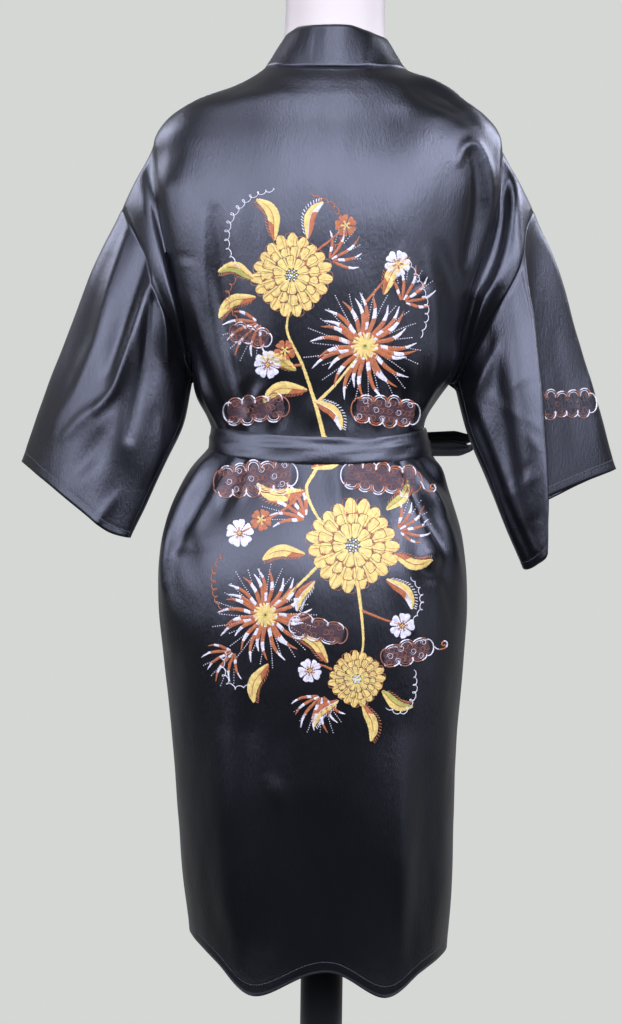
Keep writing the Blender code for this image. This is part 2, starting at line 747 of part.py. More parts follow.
def tail(name, end, finish):
    """A hanging end of the sash, which falls down the front of the robe."""
    route = []
    top = KNOT_AT[2] - KNOT_SIZE[2] / 2 + TAIL_TOP
    for k in range(TAIL_STEPS + 1):
        t = k / TAIL_STEPS
        height = top + (end.foot - top) * t
        x = KNOT_AT[0] + end.x_top + (end.x_foot - end.x_top) * t
        y = chest_point(x, height, False)[1] - BAND_WALL / 2 - SASH_CLEAR - SASH_WALL / 2
        fall = soft_step(t, 0, TAIL_SEAT)
        route.append((x, min(y - TAIL_STANDS, KNOT_AT[1] * (1 - fall) + y * fall), height))
    return strip(name, route, [(1, 0, 0)] * len(route), SASH_WIDTH - TAIL_NARROWS, finish)


def build():
    for old in list(bpy.data.objects):
        bpy.data.objects.remove(old)
    net = robe_net()
    walls = {"robe_back": PANEL_WALL, "robe_front_left": PANEL_WALL, "robe_front_right": PANEL_WALL,
             "sleeve_left": PANEL_WALL, "sleeve_right": PANEL_WALL, "neck_band": BAND_WALL}
    for name, thickness in walls.items():
        solid(name, *net.wall(name, thickness), material(name + "_satin", SATIN, 0.35))
    finish = {name: material(name + "_satin", SATIN, 0.38)
              for name in ("belt_band", "belt_knot", *LOOPS, *TAILS)}
    sash_ring(finish["belt_band"])
    knot(finish["belt_knot"])
    for name, loop in LOOPS.items():
        bow_loop(name, loop, finish[name])
    for name, end in TAILS.items():
        tail(name, end, finish[name])
    dress_form(material("form_white", FORM_WHITE, 0.5))
    turned("form_pole", ((POLE_RADIUS, FOOT_HEIGHT + SEAM_GAP),
                         (POLE_RADIUS, FORM[0].height - FORM_CLEAR - SEAM_GAP)),
           material("pole_black", BLACK_METAL, 0.4, 0.5), POLE_SIDES)
    turned("form_foot", ((FOOT_RADIUS - FOOT_BEVEL, 0), (FOOT_RADIUS, FOOT_BEVEL),
                         (FOOT_RADIUS, FOOT_HEIGHT - FOOT_BEVEL), (FOOT_RADIUS - FOOT_BEVEL, FOOT_HEIGHT)),
           material("foot_black", BLACK_METAL, 0.45, 0.5), FOOT_SIDES)


build()
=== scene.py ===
"""The looks of a short satin kimono robe on its dress form.

Sizes are in millimetres until a mesh is made, in the part's own frame: X to the wearer's left, Y to
the back, Z up. The robe's cloth is one fine net on the same named sizes as its solids. Its creases
are listed in tables, and seams, stitches and embroidery are laid on it afterwards.
"""
import json
import math
from collections import namedtuple

import bpy
import numpy as np
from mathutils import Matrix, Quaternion, Vector, noise
from mathutils.bvhtree import BVHTree

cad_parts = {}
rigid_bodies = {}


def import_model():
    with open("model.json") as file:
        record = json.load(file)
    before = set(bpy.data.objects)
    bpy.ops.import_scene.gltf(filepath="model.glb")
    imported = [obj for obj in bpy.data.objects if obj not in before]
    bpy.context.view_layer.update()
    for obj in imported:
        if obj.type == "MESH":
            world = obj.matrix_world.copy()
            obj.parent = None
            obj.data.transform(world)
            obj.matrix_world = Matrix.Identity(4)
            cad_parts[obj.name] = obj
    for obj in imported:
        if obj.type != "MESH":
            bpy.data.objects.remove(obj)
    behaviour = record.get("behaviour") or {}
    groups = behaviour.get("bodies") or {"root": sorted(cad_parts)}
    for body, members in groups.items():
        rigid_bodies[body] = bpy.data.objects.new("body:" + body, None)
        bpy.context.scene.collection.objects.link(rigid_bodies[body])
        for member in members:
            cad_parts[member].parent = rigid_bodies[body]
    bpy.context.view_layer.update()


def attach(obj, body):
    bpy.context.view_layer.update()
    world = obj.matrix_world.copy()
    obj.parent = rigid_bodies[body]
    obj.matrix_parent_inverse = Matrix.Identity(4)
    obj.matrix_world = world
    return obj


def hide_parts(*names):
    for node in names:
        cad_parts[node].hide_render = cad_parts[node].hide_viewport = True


MM = 0.001
ROOT = "root"


def listed(fields, *rows):
    """A table's rows, each with a name for every column."""
    kind = namedtuple("Row", fields)
    return tuple(kind(*row) for row in rows)


# The robe's sizes, as its solids have them
SQUARE = 2.25
HEM = 385
ARMPIT = 1020
SHOULDER_END = 1278
NECK_SEAM = 1357
BACK_DIP = 12
WAIST = 957
WAIST_REACH = 45
WAIST_RISE = 5
WAIST_SAG = 9
HEM_BLEND = 200
FLAT_BACK = (24, 13)
FLAT_ANGLES = (35, 85)
FLAT_FROM = (1025, 1110)
FLAT_UNTIL = (1215, SHOULDER_END)
BAND_WIDTH = 48
BAND_WALL = 2.4
BAND_LEAN = (-0.36, -0.12, 44)
BAND_STANDS = (1155, 1270)
BAND_TURNS = (1225, NECK_SEAM)
RIGHT_STAND = 0.8
RIGHT_SPAN = (20, 70)
LAP = 5.5
LAP_STARTS = (115, 138)
EDGE_LIMIT = 0.985
FOLD_RADIUS = 130
ARMHOLE_OPEN = 13
PLEAT_DEPTH = 17
PLEAT_SLOPE = 0.62
PLEAT_END = 0.42
FRONT_PLEAT = 0.2
CAP_CROWN = (7, 3)
SASH_WIDTH = 28
SASH_WALL = 2.0
SASH_CLEAR = 1.2
RIGHT_FROM = 200
KNOT_AT = (-8, -106.9, 955)
KNOT_SIZE = (36, 20, 34)

ROBE = listed(
    "height left right back front",
    (385, 148, 138, 112, 113), (445, 155, 142, 116, 118), (540, 161, 143, 121, 121),
    (640, 169, 145, 125, 123), (715, 178, 150, 128, 122), (777, 185, 153, 130, 121),
    (827, 185, 151, 127, 117), (860, 180, 146, 120, 111), (895, 168, 135, 108, 104), (926, 150, 123, 96, 97),
    (951, 128, 107, 88, 92), (976, 132, 104, 88, 92), (1003, 146, 117, 92, 99), (1035, 152, 138, 99, 111),
    (1083, 158, 144, 107, 126), (1140, 170, 156, 114, 132), (1185, 180, 168, 118, 128),
    (1225, 187, 177, 118, 117), (1255, 192, 182, 115, 105), (1278, 195, 183, 110, 93),
    (1293, 188, 179, 105, 86), (1304, 178, 170, 101, 80), (1312, 166, 161, 98, 75), (1320, 148, 147, 95, 70),
    (1331, 118, 134, 90, 62), (1343, 97, 116, 84, 55), (1357, 76, 78, 74, 44))
FRONT_EDGE = listed(
    "height out",
    (385, -42), (700, -38), (957, -32), (1020, -5), (1090, 25), (1160, 47), (1230, 62), (1280, 69),
    (1322, 72.5), (1345, 74), (1357, 73))
HEM_LINE = listed(
    "angle height",
    (-240, 392), (-180, 396), (-130, 400), (-90, 402), (-68, 404), (-46, 396), (-25, 378), (-2, 405),
    (28, 378), (46, 403), (66, 417), (90, 420), (130, 408), (180, 396), (240, 392))
FOLDS = listed(
    "angle_top top angle_foot foot width rise",
    (30, 660, 29, 340, 24, 8), (-28, 660, -26, 340, 24, 8), (2, 600, -2, 360, 20, -6),
    (74, 940, 64, 760, 13, 5), (60, 940, 46, 800, 10, -4), (-34, 945, -60, 760, 11, -5),
    (-44, 945, -70, 800, 12, 4), (62, 1110, 44, 972, 12, 5), (48, 1150, 32, 972, 10, -3),
    (-70, 1100, -56, 972, 12, 4), (120, 940, 112, 560, 16, 5), (150, 945, 140, 620, 14, -4),
    (-120, 940, -112, 560, 16, 5), (-146, 945, -138, 620, 14, -4), (118, 1120, 128, 975, 14, 4),
    (-118, 1120, -128, 975, 14, 4))
# A sleeve's sections from its seam (0) to its cuff (1): points (out, back, up) once round, from the underarm
SECTION_FIELDS = "along under back_low back_mid back_high top front_high front_low"
LEFT_SLEEVE = listed(
    SECTION_FIELDS,
    (0, (152, 0, 1020), (172, 36, 1078), (193, 44, 1130), (213, 28, 1178), (231, -8, 1209),
     (202, -52, 1130), (168, -36, 1064)),
    (0.25, (160, 10, 975), (185, 40, 1020), (212, 48, 1062), (242, 28, 1108), (263, -18, 1147),
     (226, -62, 1070), (183, -40, 1012)),
    (0.5, (177, 18, 936), (203, 42, 968), (233, 42, 1003), (267, 18, 1045), (291, -30, 1079),
     (249, -68, 1005), (200, -40, 962)),
    (0.75, (196, 25, 893), (223, 40, 913), (255, 34, 942), (293, 6, 978), (321, -42, 1006),
     (272, -70, 942), (217, -38, 904)),
    (1, (215, 30, 851), (238, 40, 858), (268, 30, 879), (307, 2, 906), (349, -55, 931), (292, -72, 887),
     (235, -36, 856)))
RIGHT_SLEEVE = listed(
    SECTION_FIELDS,
    (0, (138, 0, 1020), (168, 38, 1085), (200, 42, 1145), (209, 22, 1188), (220, -8, 1213),
     (190, -52, 1140), (158, -38, 1068)),
    (0.25, (151, 12, 968), (182, 50, 1020), (214, 53, 1088), (209, 22, 1110), (250, -14, 1152),
     (218, -62, 1076), (176, -42, 1012)),
    (0.5, (171, 20, 920), (200, 57, 955), (224, 60, 1000), (212, 22, 1024), (273, -20, 1080),
     (236, -66, 1000), (192, -42, 952)),
    (0.75, (190, 28, 872), (212, 60, 893), (230, 64, 925), (212, 24, 952), (297, -25, 1005),
     (257, -66, 945), (210, -40, 912)),
    (1, (210, 35, 826), (222, 60, 830), (231, 66, 848), (212, 26, 884), (319, -30, 930),
     (272, -64, 905), (226, -36, 876)))
SECTION_KEYS = (0, 0.13, 0.26, 0.37, 0.5, 0.68, 0.85, 1)

# How fine the cloth's net is, and how thick
ROW_STEP = 4
ARMHOLE_ROWS = 64
SHOULDER_ROWS = 36
BACK_COLUMNS = 116
FRONT_COLUMNS = 60
CAP_COLUMNS = 12
SLEEVE_COLUMNS = 2 * ARMHOLE_ROWS
SLEEVE_RINGS = 84
BAND_COLUMNS = 12
SMOOTH_ROUNDS = 5
CLOTH = 0.7             # how thick the satin looks at an edge
BAND_HALF = 1.1         # half of the doubled neck band
BAND_ROLL = (0.95, 0.5)     # the same at its folded edge

# How creases, the sash and the sewing shape the cloth
CREASE_POINTS = 14      # along each crease
CREASE_REACH = 3.2      # how far a crease is felt, in its own widths
FACING = (0.05, 0.35)   # how far the cloth faces the crease's side before it takes the crease
UNEVEN = ((0.8, 46, 3.1), (0.4, 17, 8.7))   # soft unevenness everywhere: rise, size and seed
SASH_HOLDS = 0.94       # the share of each crease that the sash presses flat
SASH_GRIP = 17
SASH_LOW = 3            # how far below the waist it presses most
SASH_SIDES = 142
DEEPEST = (5, 12)       # the deepest groove at the middle and at the sides
DEEPER_FROM = (80, 125)
SHOULDER_HOLDS = 0.92
SHOULDER_SPAN = (1262, 1304)
HIGHEST = 10
PUCKER_TOP = 1270
BAND_PULL = 0.7         # how far the thread pulls in each kind of seam
ARMHOLE_PULL = 0.8
SEAM_PULL = 0.6
HEM_PULL = 0.25

# The sash and its bow
SASH_OUT = BAND_WALL / 2 + SASH_CLEAR + SASH_WALL / 2
SASH_COLUMNS = 300
SASH_STITCHES = (3, 13)
SASH_CREASES = ((-0.55, 0, 1.3), (0.35, 5.5, 3.2))  # rise, place across and width
SASH_EASE = 0.35
# The waves of the sash's crease and of its width: size, pace and start
SASH_WAVES = (((2.2, 2.3, 1), (1.3, 5, 0)), ((0.8, 3, 0), (0.5, 7, 2)))
RIBBON_CREASE = 1.4
EDGE_SOFT = (8, 0.16)   # how late a flat band thins towards its edges, and what is left there
KNOT_RINGS = 32
KNOT_SIDES = 56
KNOT_SQUARE = 0.8
KNOT_WRINKLES = (0.035, 9, 1.5)     # depth, pace and slant
LOOP_ROOT = 4
LOOP_TIP = 5.5
LOOP_NARROWS = 4
LOOP_WALL = 1.5
LOOP_STARTS = -3
LOOP_STEPS = 36
LOOP_POINT = 0.55       # how much of its width a loop loses at its tip
LOOP_POINTED = (0.88, 1)
LOOP_GATHER = 0.3       # how much of it the gather takes, and along which share of the loop
LOOP_GATHERED = (0.1, 0.55)
LOOP_WANDER = (1.5, 0.3)    # how far the crease runs from side to side, and its pace
TAIL_NARROWS = 2
TAIL_STEPS = 70
TAIL_TOP = 3
TAIL_STANDS = 3
TAIL_SEAT = 0.25
TAIL_GATHER = 0.25
TAIL_GATHERED = (0, 0.2)
TAIL_WANDER = (1.2, 4)      # its crease, its swings across and outwards and its turns: size and pace
TAIL_ACROSS = (1.5, 5)
TAIL_OUT = (1.4, 6)
TAIL_TURN = (14, 4.2)
Loop = namedtuple("Loop", "side reach droop swing tilt")
LOOPS = {
    "belt_loop_left": Loop(1, 112, 16, 6, 40),
    "belt_loop_right": Loop(-1, 158, -4, 30, 46),
}
Tail = namedtuple("Tail", "x_top x_foot foot")
TAILS = {
    "belt_tail_left": Tail(14, 34, 700),
    "belt_tail_right": Tail(-14, -30, 655),
}

# Finishes
SATIN = (0.003, 0.003, 0.0033)
SATIN_ROUGH = 0.285
SATIN_SPECULAR = 0.95
SLUBS = 0.035
SATIN_TINT = (0.88, 0.90, 1.0)
FORM_WHITE = (0.62, 0.55, 0.48)
BLACK_METAL = (0.012, 0.012, 0.013)
FLOOR_PALE = (0.7, 0.7, 0.68)
WALL_PALE = (0.66, 0.68, 0.66)

# The dress form, its pole and its foot
FORM = listed(
    "height half back front",
    (700, 108, 88, 80), (703, 118, 97, 88), (712, 127, 104, 95), (740, 139, 113, 103), (777, 145, 121, 108),
    (827, 142, 118, 106), (860, 136, 111, 100), (895, 124, 99, 93), (926, 111, 87, 87), (951, 99, 80, 82),
    (976, 97, 80, 82), (1003, 104, 84, 88), (1035, 114, 91, 99), (1083, 128, 99, 113), (1140, 141, 106, 119),
    (1185, 151, 110, 115), (1225, 161, 110, 104), (1255, 172, 106, 93), (1278, 175, 102, 83),
    (1293, 173, 99, 77), (1304, 167, 96, 72), (1312, 159.5, 93, 67), (1320, 145.5, 90, 62),
    (1331, 117, 85, 54), (1343, 96, 79, 48), (1357, 75, 69, 42), (1366, 65, 65, 43), (1380, 58, 61, 46),
    (1400, 55, 58, 50), (1430, 54, 57, 54), (1488, 54, 57, 56), (1497, 51, 54, 53), (1500, 46, 49, 48))
FORM_CLEAR = 1.6
DIP_ENDS = (1400, 1440)
FORM_COLUMNS = 120
FORM_ROW = 5
FORM_TOP_ROWS = 7
POLE_RADIUS = 23.5
FOOT_RADIUS = 190
FOOT_HEIGHT = 16
FOOT_BEVEL = 3
BEVEL_STEPS = 6
POLE_GAP = 0.3
TURNED_SIDES = 128

# Embroidery: threads and cords, and the spray of flowers and clouds on the back
FIELD_STEP = 1.0
FIELD_FAR = 500         # beyond the cloth, where its rays start
BACK_SPAN = (-130, 140)
SLEEVE_SPANS = ((-322, -228), (950, 1060))
FIELD_MARGIN = 30
SPRAY_TOP = 1222
SPRAY_MIDDLE = WAIST - 16
SPRAY_FOOT = 652
SPRAY_SEED = 11
SLEEVE_SEED = 17
THREAD_STEP = 0.85
THREAD_HEIGHT = 0.6
THREAD_BASE = 0.06
THREAD_OVERLAP = 1.25   # a stitch's width in steps
WIDTH_VARIES = (0.88, 1.12)
HEIGHT_VARIES = (0.8, 1.2)
EDGE_VARIES = 0.25
TONE_VARIES = 0.025
CORD = 1.0
CORD_STEP = 1.3
CORD_TURN = 7
THREADS = {
    "gold": (0.84, 0.62, 0.19),
    "rust": (0.50, 0.155, 0.055),
    "copper": (0.34, 0.13, 0.075),
    "white": (0.80, 0.76, 0.77),
    "plum": (0.085, 0.045, 0.05),
    "lime": (0.50, 0.46, 0.10),
}
# Thread that changes shade along a stitched shape: each shade and the share of the length it ends at
ALL = 2
SHADES = {name: ((name, ALL),) for name in THREADS} | {
    "gold_foot": (("rust", 0.3), ("gold", ALL)),
    "banded": (("rust", 0.2), ("white", 0.38), ("rust", 0.74), ("white", ALL)),
    "banded_late": (("white", 0.16), ("rust", 0.5), ("white", 0.72), ("rust", ALL)),
    "tipped": (("rust", 0.62), ("white", ALL)),
}
BLOOMS = listed(
    "kind x z radius turn",
    ("gold", 42, 1126, 40, 10), ("spider", -34, 1056, 56, 4), ("gold", -24, 852, 46, 25),
    ("spider", 64, 780, 50, 0), ("gold", -30, 716, 28, 5), ("white", 66, 1036, 13, 20),
    ("rust", 48, 1050, 10, 50), ("white", -66, 1140, 12, 40), ("rust", -12, 1176, 10, 0),
    ("white", 92, 862, 13, 10), ("rust", 70, 876, 10, 40), ("white", -76, 770, 12, 30),
    ("white", 18, 724, 11, 60))
LEAVES = listed(
    "kind x z length turn bend",
    ("gold", 60, 1160, 46, 66, 0.2), ("rust", 26, 1162, 40, 112, -0.16), ("lime", 80, 1122, 40, 14, 0.2),
    ("gold", 78, 1104, 44, -26, 0.2), ("gold", -52, 1108, 44, 128, -0.16), ("gold", 24, 1010, 48, -16, 0.2),
    ("rust", 18, 1000, 42, 226, -0.16), ("lime", 36, 1030, 40, 18, 0.14), ("gold", 20, 930, 40, 150, 0.16),
    ("gold", 26, 906, 50, 8, -0.18), ("lime", -58, 888, 38, 128, 0.16), ("gold", -66, 844, 42, 190, 0.18),
    ("rust", -58, 818, 42, 228, -0.16), ("gold", 24, 842, 44, -8, 0.16), ("rust", 14, 816, 36, -60, 0.14),
    ("rust", -12, 694, 38, -48, 0.16), ("gold", -36, 690, 40, -104, -0.14),
    ("lime", -56, 704, 38, -150, 0.16), ("gold", 0, 732, 38, 44, 0.14), ("gold", 60, 730, 44, -70, 0.16))
# Plumes of grass: slender blades fanned out from one foot
PLUMES = listed(
    "x z length turn fan blades",
    (74, 1080, 44, -40, 110, 6), (-72, 1100, 42, 120, 110, 6), (4, 1140, 40, 140, 90, 5),
    (22, 878, 48, 30, 80, 6), (-70, 866, 40, 150, 100, 6), (96, 742, 40, -50, 100, 6),
    (6, 700, 42, -80, 110, 7))
BRANCHES = listed(
    "colour width line",
    ("gold", 4.2, ((6, 960), (16, 996), (30, 1036), (46, 1070), (42, 1096))),
    ("gold", 3.2, ((16, 996), (-4, 1016), (-20, 1036), (-34, 1052))),
    ("rust", 2.6, ((30, 1036), (50, 1034), (66, 1036))),
    ("rust", 2.4, ((-34, 1100), (-52, 1122), (-66, 1140))),
    ("rust", 2.2, ((18, 1150), (2, 1162), (-12, 1176))),
    ("gold", 4.2, ((6, 962), (14, 930), (24, 908), (12, 880), (-8, 862))),
    ("rust", 3, ((24, 908), (48, 886), (70, 874), (92, 862))),
    ("gold", 3.4, ((-30, 810), (-34, 780), (-36, 752), (-32, 732))),
    ("rust", 2.6, ((-34, 786), (-54, 778), (-76, 770))),
    ("gold", 3.2, ((12, 830), (36, 806), (62, 784))),
    ("rust", 2.2, ((-4, 726), (8, 730), (18, 724))))
TENDRILS = listed(
    "colour size pitch line",
    ("white", 3, 8.5, ((96, 1132), (108, 1154), (106, 1182), (86, 1204), (60, 1212))),
    ("rust", 2.6, 8, ((2, 1150), (-8, 1168), (0, 1194), (24, 1206))),
    ("white", 2.6, 8.5, ((-92, 1066), (-98, 1090), (-92, 1116), (-78, 1142))),
    ("rust", 2.6, 8, ((98, 1082), (108, 1096), (108, 1112), (98, 1126))),
    ("rust", 2.6, 8, ((108, 842), (118, 822), (116, 796), (108, 782))),
    ("white", 2.6, 8.5, ((-60, 686), (-78, 680), (-90, 698), (-90, 724))),
    ("white", 2.6, 8.5, ((78, 706), (98, 704), (108, 722), (104, 742))),
    ("white", 2.2, 7.5, ((-84, 820), (-94, 806), (-96, 788), (-88, 776))))
# The gold bloom's rings of petals, with sizes as shares of its radius, and its eye's rings of knots
GOLD_RINGS = listed(
    "petals inner outer base shades line",
    (19, 0.5, 1, 0, "gold_foot", "rust"), (15, 0.32, 0.74, 0.35, "gold_foot", "plum"),
    (10, 0.14, 0.47, 0.7, "gold", "plum"))
EYE_RINGS = ((0.13, 12), (0.075, 7), (0.02, 3))
SPIDER_PETALS = 26
SPIDER_HAIR = (0.55, 0.8, 1.08)
SPIDER_EYE = 16
PLUME_HAIR = (0.6, 0.8, 1.02)
# The scrolls' outlines, the small curls inside them with their threads, and their hooks
OUTLINE = 1.35
INLINE = 0.7
INLINE_INSET = 2.2
SCROLL_POINTS = 9
LOBE_TURNS = (-12, 192)
CAP_TURNS = (-115, 115)
CAP_WIDTH = 1.3
GROUND_ROWS = ((-1, -0.33), (-0.33, 0.33), (0.33, 1))
CURL = (3.6, 0.6, 460)
CURL_PITCH = 4.6
CURL_WIDTH = 0.5
HOOK = (4.6, 0.8, 430, 12)
HOOK_REACH = 13
HOOK_WIDTH = 1.5
INSIDES = {
    "warm": ("copper", "white", "copper", "plum", "copper"),
    "dark": ("plum", "copper", "plum", "plum", "copper"),
    "bare": ("plum", "copper", "plum", "plum", "plum"),
}
SCROLL_FIELDS = "side x z length height lobes turn first second hook inside"
CLOUDS = listed(
    SCROLL_FIELDS,
    (1, -58, 990, 58, 32, 4, 4, "rust", "white", 0, "warm"),
    (1, 78, 990, 56, 29, 4, -6, "white", "copper", 0, "dark"),
    (1, 78, 918, 72, 36, 5, -8, "copper", "white", 0, "warm"),
    (1, -54, 920, 70, 32, 5, 6, "white", "rust", -1, "dark"),
    (1, 10, 766, 48, 25, 3, 12, "white", "copper", 0, "dark"),
    (1, -82, 742, 44, 25, 3, -10, "copper", "white", -1, "warm"),
    (1, 84, 1066, 36, 20, 3, 16, "copper", "white", 0, "dark"))
SLEEVE_CLOUDS = listed(
    SCROLL_FIELDS,
    (1, -263, 1003, 54, 31, 4, -4, "copper", "white", 0, "bare"),
    (-1, -270, 1000, 46, 29, 4, 4, "copper", "white", 0, "bare"))

# Running stitches in black thread, whose colour is lifted to grey as a painted sheen
STITCH_PITCH = 3.1
STITCH_LENGTH = 2.3
STITCH_WIDTH = 0.65
STITCH_HEIGHT = 0.35
STITCH_BLACK_PAINTED_SHEEN = (0.11, 0.11, 0.12)
ALONG = np.array([0, 0.5, 1])
ACROSS = np.array([-1, 0, 1])
ROUNDED = 1 - 0.85 * np.abs(ACROSS)
HEM_ROW = 3
CUFF_RING = -4
SLEEVE_STITCHES = (1, 3)

# The cut of what shows of each piece: flat width and length in metres, flat area in square metres
Cut = namedtuple("Cut", "width length area held")

# The camera of the photo: its place in metres, its turns in degrees, its lens in millimetres
CAMERA_AT = (0.019, 1.60, 0.95)
CAMERA_DOWN = 2.5
CAMERA_ROLL = 0.78
LENS = 51.1
SENSOR = 36

# The floor, and how bright the dim room and the pale wall are
FLOOR_RADIUS = 620
FLOOR_SIDES = 120
ROOM_LIGHT = 0.020
WALL_LIGHT = 0.3

# Soft lamps round the robe, with places and sizes in metres and angles in degrees: each lamp's turn from
# the camera's side towards the wearer's left, its rise and its watts
LAMP_AIM = 1.05
LAMP_FAR = 2.6
LAMP_SIZE = (1.2, 0.92)
LAMP_SPREAD = 60
COOL = (0.75, 0.785, 1.0)
LAMPS = listed(
    "turn rise watts",
    (75, 4, 1.4), (50, 0, 0.9), (-50, 0, 0.7), (50, 12, 2.1), (25, 12, 1.5), (0, 12, 1.7), (-25, 12, 3.2),
    (-75, -12, 0.3), (0, 25, 1.9), (25, 25, 1.1), (-50, 25, 3.9), (-75, 25, 1.4), (0, 40, 1.7), (50, 40, 0.9),
    (0, 62, 2.6), (60, 62, 0.8), (120, 30, 2.2), (-120, 30, 3.0), (180, 16, 3.0))

